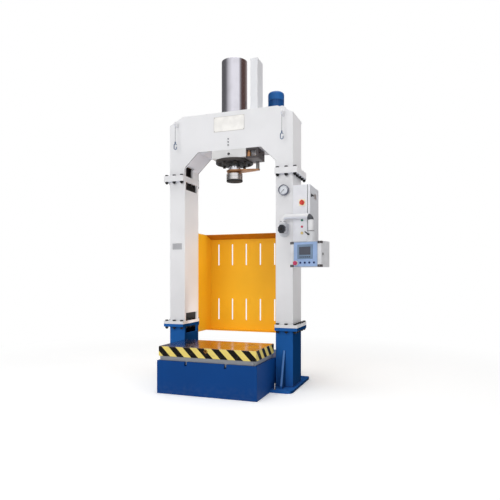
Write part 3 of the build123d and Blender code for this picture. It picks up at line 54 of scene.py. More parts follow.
upper_joint = 2.136
foot_top = 0.025
gusset_top = 0.377
gusset_reach = 0.11
crosshead_top = 2.784
block_middle = 2.3525
gland_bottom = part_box("gland_flange")[0].z
rod_radius = 0.0625
table_low, table_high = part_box("table_plate")
tank_low, tank_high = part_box("oil_tank")
motor_low, motor_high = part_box("motor_body")


def added(name, data):
    """A new object in the scene."""
    made = bpy.data.objects.new(name, data)
    bpy.context.scene.collection.objects.link(made)
    return made


# Camera: at chest height, in front of the press and to its right
camera_data = bpy.data.cameras.new("camera")
camera_data.lens = 35.23
camera_data.sensor_width = 36.0
camera_data.shift_y = 0.0537
camera_data.clip_end = 200
camera = added("camera", camera_data)
camera.location = (1.898, -4.784, 1.098)
camera.rotation_euler = (radians(90), 0, radians(19.84))
bpy.context.scene.camera = camera


# Finishes

class Signal:
    """A value on a shader socket that takes part in ordinary sums."""

    def __init__(self, board, socket):
        self.board = board
        self.socket = socket

    def other(self, name):
        """Another output of the same node."""
        return Signal(self.board, self.socket.node.outputs[name])

    def work(self, operation, *values):
        return self.board.node("ShaderNodeMath", {"operation": operation}, dict(enumerate(values)))

    def __add__(self, value):
        return self.work("ADD", self, value)

    def __radd__(self, value):
        return self.work("ADD", value, self)

    def __sub__(self, value):
        return self.work("SUBTRACT", self, value)

    def __rsub__(self, value):
        return self.work("SUBTRACT", value, self)

    def __mul__(self, value):
        return self.work("MULTIPLY", self, value)

    def __rmul__(self, value):
        return self.work("MULTIPLY", value, self)

    def __truediv__(self, value):
        return self.work("DIVIDE", self, value)

    def __rtruediv__(self, value):
        return self.work("DIVIDE", value, self)

    def part(self):
        """The part of the value after the decimal point."""
        return self.work("FRACT", self)

    def size(self):
        """The value without its sign."""
        return self.work("ABSOLUTE", self)

    def most(self, value):
        """The larger of the two."""
        return self.work("MAXIMUM", self, value)


class Board:
    """A tree of shader nodes, for a finish or for the room."""

    def __init__(self, tree):
        self.tree = tree
        tree.nodes.clear()

    def node(self, kind, settings=None, values=None, out=0):
        """Adds one node: its settings first, then a value or a link for each named socket."""
        made = self.tree.nodes.new(kind)
        for name, value in (settings or {}).items():
            if name == "stops":
                while len(made.color_ramp.elements) < len(value):
                    made.color_ramp.elements.new(0.5)
                for element, (position, tone) in zip(made.color_ramp.elements, value):
                    element.position = position
                    element.color = (*tone, 1)
            else:
                setattr(made, name, value)
        for name, value in (values or {}).items():
            socket = made.inputs[name]
            if isinstance(value, Signal):
                self.tree.links.new(value.socket, socket)
            else:
                socket.default_value = value
        return Signal(self, made.outputs[out] if made.outputs else None)

    def spot(self):
        """The point on the piece, in the press's own metres."""
        return self.node("ShaderNodeTexCoord", out="Object")

    def axes(self):
        """The point's X, Y and Z."""
        split = self.node("ShaderNodeSeparateXYZ", values={0: self.spot()})
        return split, split.other("Y"), split.other("Z")

    def height(self):
        """How high the point is above the floor."""
        return self.axes()[2]

    def facing(self, axis):
        """How far the face looks along X, Y or Z, from -1 to 1."""
        normal = self.node("ShaderNodeTexCoord", out="Normal")
        return self.node("ShaderNodeSeparateXYZ", values={0: normal}, out=axis)

    def stretched(self, stretch):
        return self.node("ShaderNodeVectorMath", {"operation": "MULTIPLY"}, {0: self.spot(), 1: stretch})

    def grain(self, scale, detail=2.0, stretch=None):
        """Noise from 0 to 1 at so many grains to the metre, stretched along an axis if asked."""
        vector = self.stretched(stretch) if stretch else self.spot()
        return self.node("ShaderNodeTexNoise", values={"Vector": vector, "Scale": scale, "Detail": detail})

    def between(self, value, low, high):
        """0 below low, 1 above high, and smooth between them."""
        return self.node("ShaderNodeMapRange", {"interpolation_type": "SMOOTHSTEP", "clamp": True},
                         {"Value": value, "From Min": low, "From Max": high})

    def mix(self, share, first, second):
        """A colour that goes from first to second."""
        values = {0: share}
        for socket, tone in ((6, first), (7, second)):
            values[socket] = tone if isinstance(tone, Signal) else (*tone, 1)
        return self.node("ShaderNodeMix", {"data_type": "RGBA", "clamp_factor": True}, values, out=2)

    def rounded(self, radius):
        """The surface's direction with its edges rounded off."""
        return self.node("ShaderNodeBevel", {"samples": 4}, {"Radius": radius})

    def past(self, value, limit, blur=0.0005):
        """0 before the limit and 1 beyond it."""
        return self.between(value, limit - blur, limit + blur)

    def inside_posts(self):
        """1 on the inner faces of the hollow posts, which hardly any light reaches."""
        x, y, z = self.axes()
        across = self.past(x.size(), post_inner) * (1 - self.past(x.size(), post_outer))
        deep = 1 - self.past(y.size(), post_depth)
        return across * deep * (1 - self.past(z, post_top, 0.005))

    def edges(self, normal):
        """1 on edges and corners, 0 on flat faces."""
        flat = self.node("ShaderNodeNewGeometry", out="Normal")
        along = self.node("ShaderNodeVectorMath", {"operation": "DOT_PRODUCT"}, {0: normal, 1: flat},
                          out="Value")
        return self.between(along, 0.97, 0.8)

    def dents(self, height, depth, normal=None):
        """The surface's direction with fine relief on it."""
        values = {"Height": height, "Distance": depth, "Strength": 1.0}
        if normal:
            values["Normal"] = normal
        return self.node("ShaderNodeBump", values=values)


def colour(red, green, blue):
    """A colour as it looks on a screen, from 0 to 255, in the renderer's own scale."""
    shares = [part / 255 for part in (red, green, blue)]
    return tuple(s / 12.92 if s <= 0.04045 else ((s + 0.055) / 1.055) ** 2.4 for s in shares)


def shade(tone, amount):
    """The tone made darker or lighter."""
    return tuple(min(part * amount, 1.0) for part in tone)


class Finish(Board):
    """A named material."""

    def __init__(self, name):
        self.material = bpy.data.materials.new(name)
        self.material.use_nodes = True
        super().__init__(self.material.node_tree)

    def done(self, base, roughness, **sockets):
        """Joins the finish to the shader. Words in sockets stand for the shader's own names."""
        values = {"Base Color": base, "Roughness": roughness}
        values.update({name.replace("_", " "): value for name, value in sockets.items()})
        shader = self.node("ShaderNodeBsdfPrincipled", values=values)
        self.node("ShaderNodeOutputMaterial", values={"Surface": shader})
        return self.material


def paint(name, tone, roughness=0.36, rounding=0.0025, peel=0.00004, chips=0.35, dust=0.0, mirror=0.4,
          bare=None, hollow=None, under=None, sides=None, ramp_highlight=None):
    """Sprayed machine paint: a faint unevenness, rubbed edges and, low down, dust from the floor.

    Painted shade can darken the posts' hollows and faces that look down, left or right, and a painted
    highlight can lighten faces that slope gently upwards.
    """
    f = Finish(name)
    normal = f.rounded(rounding)
    cloud = f.grain(2.3, 3.0)
    fine = f.grain(420.0, 2.0)
    blotch = f.grain(26.0, 4.0)
    body = f.mix(f.between(cloud, 0.3, 0.7), shade(tone, 0.955), shade(tone, 1.02))
    # Painted shade: faces that look down take the under tone.
    if under:
        body = f.mix(f.between(0 - f.facing("Z"), 0.15, 0.35), body, under)
    # Painted shade: faces that look left or right take the sides tone.
    if sides:
        body = f.mix(f.between(f.facing("X").size(), 0.6, 0.85), body, sides)
    # Painted highlight: faces that slope gently upwards take a lighter tone.
    if ramp_highlight:
        up = f.facing("Z")
        body = f.mix(f.between(up, 0.06, 0.1) * (1 - f.between(up, 0.5, 0.7)), body, ramp_highlight)
    rubbed = f.edges(normal) * f.between(blotch, 0.5, 0.66) * chips
    body = f.mix(rubbed, body, bare or shade(tone, 1.5))
    if dust:
        settled = (1 - f.between(f.height(), 0.0, 0.16)) * f.between(blotch, 0.35, 0.75) * dust
        body = f.mix(settled, body, colour(150, 146, 140))
    # Painted shade: the inner faces of the hollow posts take a dark tone.
    if hollow:
        body = f.mix(f.inside_posts(), body, f.mix(blotch, shade(hollow, 0.85), shade(hollow, 1.15)))
    gloss = roughness + (cloud - 0.5) * 0.1 + rubbed * 0.2
    return f.done(body, gloss, Normal=f.dents(fine, peel, normal), Specular_IOR_Level=mirror)


def textured(name, tone, roughness=0.5, grains=900.0, depth=0.00008, rounding=0.0012, metal=0.0,
             clouds=0.06, sides=None):
    """Moulded plastic or powder coat with a fine even texture; faces that look left or right can take a
    painted shade.
    """
    f = Finish(name)
    normal = f.rounded(rounding)
    skin = f.grain(grains, 2.0)
    cloud = f.grain(14.0, 3.0)
    scuffs = f.edges(normal) * f.between(f.grain(70.0, 3.0), 0.52, 0.64)
    body = f.mix(f.between(cloud, 0.3, 0.7), shade(tone, 1 - clouds), shade(tone, 1 + clouds))
    # Painted shade: faces that look left or right take the sides tone.
    if sides:
        body = f.mix(f.between(f.facing("X").size(), 0.6, 0.85), body, sides)
    body = f.mix(scuffs * 0.35, body, shade(tone, 1.7))
    gloss = roughness + (cloud - 0.5) * 0.12
    return f.done(body, gloss, Normal=f.dents(skin, depth, normal), Metallic=metal)


def metal(name, tone, roughness=0.25, lines=(1.0, 1.0, 60.0), scale=30.0, depth=0.00002, rounding=0.001,
          stain=0.5, stain_tone=None, black_below=0.0):
    """Machined metal with fine tool lines, faint stains of oil and a painted highlight along its edges.

    With black_below, faces that look down turn black as painted shade, and all that lies below that height
    turns black too.
    """
    f = Finish(name)
    normal = f.rounded(rounding)
    cuts = f.grain(scale, 3.0, lines)
    cloud = f.grain(9.0, 4.0)
    oily = f.between(cloud, 0.45, 0.75) * stain
    body = f.mix(oily, tone, stain_tone or shade(tone, 0.72))
    # Painted highlight: every edge is lighter.
    body = f.mix(f.edges(normal) * 0.5, body, shade(tone, 1.35))
    gloss = roughness + (cuts - 0.5) * 0.12 + oily * 0.1
    if not black_below:
        return f.done(body, gloss, Metallic=1.0, Normal=f.dents(cuts, depth, normal))
    # Painted shade: faces that look down turn black; the band below black_below turns black as well.
    low = 1 - f.between(f.height(), black_below, black_below + 0.004)
    black = f.between(0 - f.facing("Z"), 0.3, 0.7).most(low)
    body = f.mix(black, body, colour(34, 32, 33))
    return f.done(body, gloss + black * 0.6, Metallic=1 - black, Normal=f.dents(cuts, depth, normal))


stripe_start, stripe_pitch = 0.734, 0.1463


def hazard_table(name):
    """The table: ground steel on top, worn black and yellow stripes round its edge."""
    f = Finish(name)
    normal = f.rounded(0.002)
    x, y, z = f.axes()
    on_top = f.between(f.facing("Z").size(), 0.6, 0.9)
    wobble = (f.grain(30.0, 2.0) - 0.5) * 0.002
    stripe = ((x + y + z + stripe_start + wobble) / stripe_pitch).part()
    yellow = f.between(stripe, 0.0, 0.012) * (1 - f.between(stripe, 0.5, 0.512))
    blotch = f.grain(34.0, 5.0)
    edging = f.mix(yellow, colour(15, 13, 12), colour(233, 211, 116))
    edging = f.mix(f.between(blotch, 0.56, 0.72) * 0.15, edging, colour(120, 112, 92))
    rubbed = f.edges(normal) * f.between(blotch, 0.42, 0.6)
    edging = f.mix(rubbed * 0.7, edging, colour(120, 118, 116))
    grind = f.grain(26.0, 3.0, (90.0, 1.0, 1.0))
    cross = f.grain(40.0, 4.0, (1.0, 12.0, 1.0))
    stains = f.between(f.grain(5.0, 5.0), 0.48, 0.78)
    steel = f.mix(stains * 0.45, colour(192, 170, 171), colour(146, 116, 110))
    base = f.mix(on_top, edging, steel)
    gloss = 0.42 - on_top * 0.24 + on_top * (cross - 0.5) * 0.16 + stains * on_top * 0.12
    relief = f.dents(grind * on_top, 0.00002, normal)
    return f.done(base, gloss, Metallic=on_top, Normal=relief, Specular_IOR_Level=0.12)


def dial_face(name):
    """Matt white enamel."""
    f = Finish(name)
    mottle = f.grain(300.0, 2.0)
    body = f.mix(mottle, colour(226, 230, 238), colour(238, 241, 246))
    return f.done(body, 0.45 + (mottle - 0.5) * 0.1)


def clear(name, tone=(0.95, 0.97, 1.0)):
    """Thin clear cover: it shows what is under it, with a gloss of its own."""
    f = Finish(name)
    smear = f.grain(40.0, 4.0)
    f.material.surface_render_method = "BLENDED"
    body = f.mix(smear, tone, shade(tone, 0.96))
    gloss = 0.04 + f.between(smear, 0.55, 0.8) * 0.12
    return f.done(body, gloss, Alpha=0.12 + f.between(smear, 0.5, 0.9) * 0.06)


def lens(name, tone, glow=0.0):
    """Coloured plastic of a button or lamp, moulded with fine rings, with a painted highlight along its
    edges.
    """
    f = Finish(name)
    normal = f.rounded(0.0012)
    cloud = f.grain(120.0, 2.0)
    body = f.mix(f.between(cloud, 0.3, 0.7), shade(tone, 0.88), shade(tone, 1.08))
    # Painted highlight: the edges are lighter.
    body = f.mix(f.edges(normal) * 0.3, body, shade(tone, 1.5))
    return f.done(body, 0.24 + (cloud - 0.5) * 0.1, Normal=f.dents(f.grain(500.0), 0.00003, normal),
                  Emission_Color=body, Emission_Strength=glow, Coat_Weight=0.4)


def screen_glass(name):
    """A dark liquid-crystal screen, with faint rows of its own pixels."""
    f = Finish(name)
    rows = ((f.height() / 0.0021).part() - 0.5).size()
    cloud = f.grain(30.0, 2.0)
    body = f.mix(f.between(rows, 0.3, 0.45), colour(64, 68, 80), colour(72, 76, 90))
    body = f.mix(cloud * 0.4, body, colour(88, 92, 106))
    return f.done(body, 0.14 + (cloud - 0.5) * 0.08, Coat_Weight=0.6, Coat_Roughness=0.08)


def wire_rope(name):
    """Twisted steel wire, with painted shade in the grooves between strands and a painted highlight on their
    crowns.
    """
    f = Finish(name)
    x, _, z = f.axes()
    turn = ((z * 130.0 + x * 180.0).part() - 0.5).size()
    # Painted shade in the grooves and painted highlight on the crowns of the strands.
    tone = f.mix(f.between(turn, 0.05, 0.3), colour(64, 64, 66), colour(168, 168, 172))
    return f.done(tone, 0.4 + turn * 0.2, Metallic=0.8, Normal=f.dents(turn, 0.0006))


def knurled(name, tone):
    """Black rubber with raised ribs across the pipe, with painted shade between the ribs and a painted
    highlight on them.
    """
    f = Finish(name)
    x, _, z = f.axes()
    rib = (((x - z) / 0.007).part() - 0.5).size()
    skin = f.grain(300.0, 3.0)
    # Painted shade between the ribs and painted highlight on their crests.
    body = f.mix(rib, shade(tone, 0.7), shade(tone, 1.25))
    body = f.mix(skin * 0.4, body, shade(tone, 1.5))
    return f.done(body, 0.6 + (skin - 0.5) * 0.1, Normal=f.dents(rib, 0.0012))


# Painted shade: the white takes a cooler tone on faces that look down and a dark grey inside the hollow
# posts.
white_paint = paint("white_machine_paint", colour(228, 228, 230), bare=colour(190, 190, 188), chips=0.3,
                    hollow=colour(123, 118, 115), under=colour(224, 227, 236))
# Painted shade: the block under the crosshead wears the white paint made darker grey.
shaded_block_paint = paint("mount_block_shaded_white", colour(212, 212, 211), bare=colour(160, 160, 158), chips=0.3)
bracket_paint = paint("arm_bracket_paint", colour(206, 208, 214), bare=colour(160, 160, 160), chips=0.3)
# hollow_shade_blue is painted shade inside the blue posts; worn_blue is the tone of worn edges.
worn_blue, hollow_shade_blue = colour(56, 100, 166), colour(8, 14, 30)
blue_paint = paint("blue_machine_paint", colour(15, 67, 133), roughness=0.42, dust=0.06, mirror=0.06,
                   bare=worn_blue, hollow=hollow_shade_blue)
# Painted light and shade: the pedestals wear a lighter copy of the blue, with painted shade on faces that
# look left or right and inside the posts, and a painted highlight on faces that slope gently upwards.
pedestal_lit_and_shaded_paint = paint("pedestal_blue_lit_and_shaded", colour(38, 98, 172), roughness=0.42, dust=0.06, mirror=0.0,
                       bare=worn_blue, hollow=hollow_shade_blue, sides=colour(16, 58, 106),
                       ramp_highlight=colour(92, 136, 198))
# Painted shade: the guard's faces that look down, such as the visor's underside, are a darker orange.
orange_paint = paint("orange_sheet_paint", colour(240, 179, 34), roughness=0.42, chips=0.25, rounding=0.0015,
                     mirror=0.2, under=colour(184, 112, 20))
grey_paint = paint("grey_sled_paint", colour(146, 149, 153), roughness=0.38, bare=colour(190, 190, 192))
dark_paint = paint("dark_bracket_paint", colour(66, 60, 61), roughness=0.4, bare=colour(120, 118, 118))
# Painted shade: the gland's faces that look down are near black.
gland_paint = paint("gland_black_steel", colour(66, 62, 59), roughness=0.5, bare=colour(80, 80, 82),
                    mirror=0.16, under=colour(26, 26, 30))
# Painted shade: the cabinet's faces that look left or right are a darker grey.
cabinet_paint = textured("cabinet_powder_coat", colour(228, 229, 234), roughness=0.46, grains=520,
                         depth=0.00006, clouds=0.025, sides=colour(202, 204, 209))
console_paint = textured("console_powder_coat", colour(214, 215, 218), roughness=0.48, grains=480)
housing_paint = paint("rod_cover_paint", colour(228, 229, 232), roughness=0.38)
motor_paint = paint("motor_blue_paint", colour(26, 94, 162), mirror=0.3, bare=colour(90, 130, 190))
bolt_black = textured("black_bolt_steel", colour(30, 30, 32), roughness=0.42, grains=700, depth=0.00004,
                      metal=0.6)
black_plastic = textured("black_moulded_plastic", colour(40, 40, 43), roughness=0.44)
brown_rubber = textured("dark_corner_rubber", colour(70, 64, 66), roughness=0.55)
knob_plastic = textured("knob_black_plastic", colour(46, 48, 54), roughness=0.34, grains=500, depth=0.00005)
barrel_steel = metal("honed_barrel_steel", colour(224, 222, 228), roughness=0.17, lines=(1, 1, 40), scale=20,
                     depth=0.000012, rounding=0.002, stain=0.25)
rod_chrome = metal("chromed_rod", colour(226, 226, 228), roughness=0.1, lines=(1, 1, 20), scale=20,
                   depth=0.000004, stain=0.2)
nose_steel = metal("turned_nose_steel", colour(220, 218, 216), roughness=0.2, lines=(1, 1, 50), scale=24,
                   depth=0.00003, rounding=0.0015, stain=0.4, black_below=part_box("ram_nose")[0].z + 0.014)
guide_steel = metal("drawn_guide_steel", colour(150, 149, 145), roughness=0.3, lines=(1, 1, 20), scale=24,
                    depth=0.00001, rounding=0.0015, stain=0.4)
machined = metal("machined_steel", colour(158, 158, 160), roughness=0.34)
pipe_steel = metal("drawn_pipe_steel", colour(176, 176, 178), roughness=0.24, lines=(1, 1, 1), scale=200,
                   depth=0.00001)
brass = metal("worn_brass", colour(196, 140, 70), roughness=0.36, lines=(1, 1, 6), scale=60, rounding=0.0015,
              stain=0.7, stain_tone=colour(120, 78, 44))
bronze = metal("cast_bronze", colour(190, 142, 102), roughness=0.46, lines=(1, 6, 6), scale=40, depth=0.00004,
               rounding=0.0015, stain=0.8, stain_tone=colour(128, 94, 70))
table_finish = hazard_table("striped_table")
panel_blue = textured("console_panel_film", colour(150, 176, 216), roughness=0.4, grains=1500, depth=0.00002)
bezel_blue = textured("display_frame", colour(112, 134, 160), roughness=0.4, depth=0.00004)
switch_red = lens("switch_red", colour(214, 52, 32))
stop_red = lens("stop_red", colour(190, 56, 96))
button_green = lens("button_green", colour(30, 116, 92))
button_red = lens("button_red", colour(196, 60, 92))
button_navy = lens("button_navy", colour(28, 44, 96))
# The faint glow also lights the level glass, which shares this finish: painted light there.
lamp_amber = lens("lamp_amber", colour(214, 190, 128), glow=0.05)
hook_blue = lens("hook_blue", colour(84, 104, 134))
switch_yellow = textured("switch_yellow_plate", colour(240, 234, 196), roughness=0.42)
bare_plate = metal("bare_aluminium_plate", colour(206, 206, 208), roughness=0.36, lines=(60, 1, 1), scale=20,
                   depth=0.00001)
name_plate = textured("bare_white_plate", colour(240, 238, 234), roughness=0.4, grains=300, depth=0.00003)
plate_edge = textured("plate_edge_grey", colour(196, 192, 188), roughness=0.4)
# Grey of the crosshead's plate edges, partly the bare edge and partly painted shade along the seam.
edge_and_shade_grey = textured("plate_edge_and_shade_grey", colour(128, 127, 128))
device_grey = textured("switchgear_grey", colour(120, 122, 126))
dial_white = dial_face("dial_white")
dial_marks = textured("dial_marks", colour(36, 40, 52))
case_grey = textured("gauge_case_grey", colour(92, 98, 116), roughness=0.36, depth=0.00004, metal=0.4)
clear_glass = clear("clear_cover")
screen = screen_glass("console_screen")
rope_wire = wire_rope("twisted_wire")
band_rubber = knurled("ribbed_rubber", colour(72, 74, 80))
seal_black = textured("black_seal_rubber", colour(28, 28, 28), roughness=0.6)

node_finish = {
    "base_block": blue_paint, "left_pedestal": pedestal_lit_and_shaded_paint, "right_pedestal": pedestal_lit_and_shaded_paint,
    "left_column": white_paint, "right_column": white_paint, "crosshead": white_paint,
    "joint_bolts": bolt_black, "levelling_screws": pipe_steel, "mount_block": shaded_block_paint,
    "cylinder_barrel": barrel_steel, "gland_flange": gland_paint, "gland_screws": gland_paint,
    "guide_bracket": dark_paint, "rod_oiler": bronze, "guide_housing": housing_paint, "oil_tank": white_paint,
    "tank_lid": white_paint, "pump": machined, "motor_body": motor_paint, "fan_cowl": motor_paint,
    "valve_block": machined, "oil_pipes": pipe_steel, "rear_guard": orange_paint, "gauge_case": case_grey,
    "gauge_glass": clear_glass, "cabinet_body": cabinet_paint, "switchgear": device_grey,
    "cabinet_lamp": lamp_amber, "arm_bracket": bracket_paint, "rope_hooks": hook_blue,
    "rope_lugs": white_paint, "ram_rod": rod_chrome, "ram_nose": nose_steel, "guide_arm": bronze,
    "guide_rod": guide_steel,
    "table_plate": table_finish, "table_sled": grey_paint, "swing_arm": white_paint,
    "console_coupling": console_paint, "console_box": console_paint, "console_corners": brown_rubber,
    "console_panel": panel_blue, "display": bezel_blue, "emergency_stop": stop_red, "console_lock": machined,
    "clamp_lever": black_plastic, "cabinet_door": cabinet_paint, "door_lock": black_plastic,
    "main_switch": switch_red, "green_button": button_green, "red_button": button_red,
    "gauge_needle": dial_marks, "motor_rotor": machined, "arm_knob": knob_plastic,
}
for number in range(1, 5):
    node_finish[f"console_button_{number}"] = button_navy


def cover(piece, finish):
    """Gives a piece its finish."""
    if piece.material_slots:
        piece.material_slots[0].material = finish
    else:
        piece.data.materials.append(finish)


for name, finish in node_finish.items():
    cover(nodes[name], finish)

# The polished barrel shows the dark side of the room, not the cover, the rod and the motor beside it
for name in ("guide_housing", "guide_rod", "motor_body", "fan_cowl"):
    nodes[name].visible_glossy = False


# Ropes: each hangs from its lug, and its hook stays on the frame
rope_x = 0.58
rope_y = column_face - 0.0595
rope_top = 2.672
ferrule_top = 2.514
rope_diameter = 0.005

for name, side in (("rope_left", -1), ("rope_right", 1)):
    x = side * rope_x
    route = [(x, rope_y, rope_top), (x, rope_y, rope_top - 0.025),
             (x + 0.0006, rope_y - 0.0005, rope_top - 0.075),
             (x, rope_y, ferrule_top + 0.025), (x, rope_y, ferrule_top)]
    curve = bpy.data.curves.new(name + "_wire", "CURVE")
    curve.dimensions = "3D"
    spline = curve.splines.new("NURBS")
    spline.points.add(len(route) - 1)
    for point, place in zip(spline.points, route):
        point.co = (*place, 1)
    spline.order_u = 3
    spline.use_endpoint_u = True
    curve.bevel_depth = rope_diameter / 2
    curve.bevel_resolution = 3
    rope = added(name + "_wire", curve)
    cover(rope, rope_wire)
    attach(rope, "frame")
    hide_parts(name)


# Making the small pieces

class Place:
    """A spot on a face: its origin, the ways right and up along the face, and the way out of it."""

    def __init__(self, origin, right=(1, 0, 0), up=(0, 0, 1)):
        self.origin = Vector(origin)
        self.right = Vector(right).normalized()
        self.up = Vector(up).normalized()
        self.out = self.right.cross(self.up)

    def at(self, x, y, z=0.0):
        """The point that lies so far right, up and out."""
        return self.origin + self.right * x + self.up * y + self.out * z

    def moved(self, x, y, z=0.0):
        """The same place so far right, up and out."""
        return Place(self.at(x, y, z), self.right, self.up)


def upward(origin):
    """A place on a face that looks up."""
    return Place(origin, (1, 0, 0), (0, 1, 0))


def downward(origin):
    """A place on a face that looks down."""
    return Place(origin, (1, 0, 0), (0, -1, 0))


def rightward(origin):
    """A place on a face that looks to the right."""
    return Place(origin, (0, 1, 0), (0, 0, 1))


def backward(origin):
    """A place on a face that looks away from the operator."""
    return Place(origin, (-1, 0, 0), (0, 0, 1))


def piece(name, points, faces, finish, body="frame", slot="machined_steel", smooth=False):
    """A mesh in the press's own frame that rides on a body."""
    mesh = bpy.data.meshes.new(name)
    mesh.from_pydata([tuple(p) for p in points], [], faces)
    mesh.validate()
    mesh.update()
    made = added(name, mesh)
    for polygon in mesh.polygons:
        polygon.use_smooth = smooth
    cover(made, finish)
    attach(made, body)
    return made


def circles(place, profile, centre, steps):
    """Rings of points round a centre, one for each radius and height of the profile."""
    return [place.at(centre[0] + r * cos(2 * pi * k / steps), centre[1] + r * sin(2 * pi * k / steps), h)
            for r, h in profile for k in range(steps)]


def bands(rings, count, closed=False):
    """Faces between rings of so many points each, and from the last ring to the first if closed."""
    faces = []
    for ring in range(rings if closed else rings - 1):
        low, high = ring * count, (ring + 1) % rings * count
        for k in range(count):
            after = (k + 1) % count
            faces.append((low + k, low + after, high + after, high + k))
    return faces


def rounded_outline(width, height, corner, steps=5):
    """Points round a rectangle with round corners."""
    points = []
    for cx, cy, start in ((1, 1, 0), (-1, 1, 90), (-1, -1, 180), (1, -1, 270)):
        for k in range(steps + 1):
            angle = radians(start + 90 * k / steps)
            points.append((cx * (width / 2 - corner) + corner * cos(angle),
                           cy * (height / 2 - corner) + corner * sin(angle)))
    return points


def tray(place, width, height, thickness, corner=0.004, edge=0.0006, centre=(0, 0)):
    """Points and faces of a flat plate with round corners and a broken edge."""
    rings = [(0.0, 0.0), (0.0, thickness - edge), (edge, thickness)]
    points = []
    for inset, level in rings:
        for x, y in rounded_outline(width - 2 * inset, height - 2 * inset, max(corner - inset, 0.0001)):
            points.append(place.at(centre[0] + x, centre[1] + y, level))
    count = len(points) // len(rings)
    foot, top = tuple(reversed(range(count))), tuple(range(2 * count, 3 * count))
    return points, [foot] + bands(len(rings), count) + [top]


def border(place, width, height, strip, thickness, corner, edge):
    """Four flat strips along the inside of a rectangle's edges."""
    x, y = (width - strip) / 2, (height - strip) / 2
    sides = ((width, strip, (0, y)), (width, strip, (0, -y)),
             (strip, height, (x, 0)), (strip, height, (-x, 0)))
    return [tray(place, across, tall, thickness, corner, edge, centre) for across, tall, centre in sides]


def turned(place, profile, centre=(0, 0), steps=40):
    """Points and faces of a shape turned about the way out: profile lists (radius, height)."""
    last = len(profile) * steps
    foot, top = tuple(reversed(range(steps))), tuple(range(last - steps, last))
    return circles(place, profile, centre, steps), bands(len(profile), steps) + [foot, top]


def ring_of(place, profile, centre=(0, 0), steps=48):
    """As turned, but the profile closes on itself, so the shape has a hole through it."""
    return circles(place, profile, centre, steps), bands(len(profile), steps, closed=True)


def joined(parts):
    """Several point and face lists as one."""
    points, faces = [], []
    for more_points, more_faces in parts:
        start = len(points)
        points += more_points
        faces += [tuple(index + start for index in face) for face in more_faces]
    return points, faces


def dome(radius, height, steps=5):
    """A low round head's profile, from its foot to its top."""
    angles = [radians(90 * k / steps) for k in range(steps)]
    return [(radius * cos(a), height * (0.25 + 0.75 * sin(a))) for a in angles] + [(radius * 0.02, height)]


def round_about(radius, degrees):
    """The spots on a bolt circle at so many degrees each."""
    return [(radius * cos(radians(a)), radius * sin(radians(a))) for a in degrees]


def cap_screw(place, centre, radius, height):
    """A socket cap screw's head with its hexagon recess."""
    steps = 24
    reach = radius * 0.56
    rim = [(radius, 0.0), (radius, height * 0.88), (radius * 0.9, height)]

    def hexagon(level):
        ring = []
        for k in range(steps):
            angle = 2 * pi * k / steps
            side = (angle + pi / 6) % (pi / 3) - pi / 6
            r = reach * cos(pi / 6) / cos(side)
            ring.append(place.at(centre[0] + r * cos(angle), centre[1] + r * sin(angle), level))
        return ring

    points = circles(place, rim, centre, steps) + hexagon(height) + hexagon(height * 0.35)
    recess, foot = tuple(range(4 * steps, 5 * steps)), tuple(reversed(range(steps)))
    return points, bands(5, steps) + [recess, foot]


def cap_screws(name, place, spots, radius, height, finish, body="frame", slot="machined_steel"):
    """Cap screws on one face."""
    piece(name, *joined([cap_screw(place, spot, radius, height) for spot in spots]), finish, body, slot)


def plate_with_rivets(name, place, width, height, thickness, finish, body="frame", slot="machined_steel",
                      rivet=0.002, inset=0.006):
    """A bare plate with a round rivet near each corner."""
    piece(name, *tray(place, width, height, thickness), finish, body, slot)
    corners = [(x * (width / 2 - inset), y * (height / 2 - inset)) for x in (-1, 1) for y in (-1, 1)]
    face = place.moved(0, 0, thickness)
    rivets = joined([turned(face, dome(rivet, rivet * 0.7), corner, 16) for corner in corners])
    piece(name + "_rivets", *rivets, machined, body, slot, smooth=True)


def bead(start, end, first, second, size=0.005, ripple=0.004):
    """A weld bead in the corner between two faces, which stand out along first and second."""
    start, end, first, second = (Vector(v) for v in (start, end, first, second))
    count = max(int((end - start).length / ripple * 2), 2)
    points = []
    for k in range(count + 1):
        centre = start.lerp(end, k / count)
        full = size * (1.0 + (0.14 if k % 2 else -0.06) + 0.08 * sin(k * 0.37))
        if k in (0, count):
            full *= 0.5
        for angle in (0, 30, 60, 90):
            reach = full * (0.86 if angle in (30, 60) else 1.0)
            points.append(centre + first * reach * cos(radians(angle)) + second * reach * sin(radians(angle)))
        points.append(centre - (first + second) * 0.001)
    return points, bands(count + 1, 5) + [tuple(reversed(range(5))), tuple(range(5 * count, 5 * count + 5))]


def collar_beads(side, z, way):
    """Beads where a column stands on a plate at z, or hangs from one when way is -1."""
    inner, outer = side * column_inner, side * column_outer
    back = -column_face
    up = (0, 0, way)
    return [
        bead((inner, column_face, z), (outer, column_face, z), (0, -1, 0), up),
        bead((outer, column_face, z), (outer, back, z), (side, 0, 0), up),
        bead((outer, back, z), (inner, back, z), (0, 1, 0), up),
    ]


# Weld beads on the frame
for side, word in ((-1, "left"), (1, "right")):
    white_beads = []
    for z, way in ((lower_joint + flange_thickness, 1), (upper_joint - flange_thickness, -1),
                   (upper_joint + flange_thickness, 1)):
        white_beads += collar_beads(side, z, way)
    piece(f"{word}_column_welds", *joined(white_beads), white_paint, "frame", "white_paint", smooth=True)
    blue_beads = collar_beads(side, lower_joint - flange_thickness, -1) + collar_beads(side, foot_top, 1)
    for face, way in ((column_face, -1), (-column_face, 1)):
        toe = face + way * gusset_reach
        for edge in (-1, 1):
            x = side * column_middle + edge * 0.01
            blue_beads.append(bead((x, face, foot_top), (x, face, gusset_top), (edge, 0, 0), (0, way, 0)))
            blue_beads.append(bead((x, face, foot_top), (x, toe, foot_top), (edge, 0, 0), (0, 0, 1)))
    piece(f"{word}_pedestal_welds", *joined(blue_beads), blue_paint, "frame", "blue_paint", smooth=True)

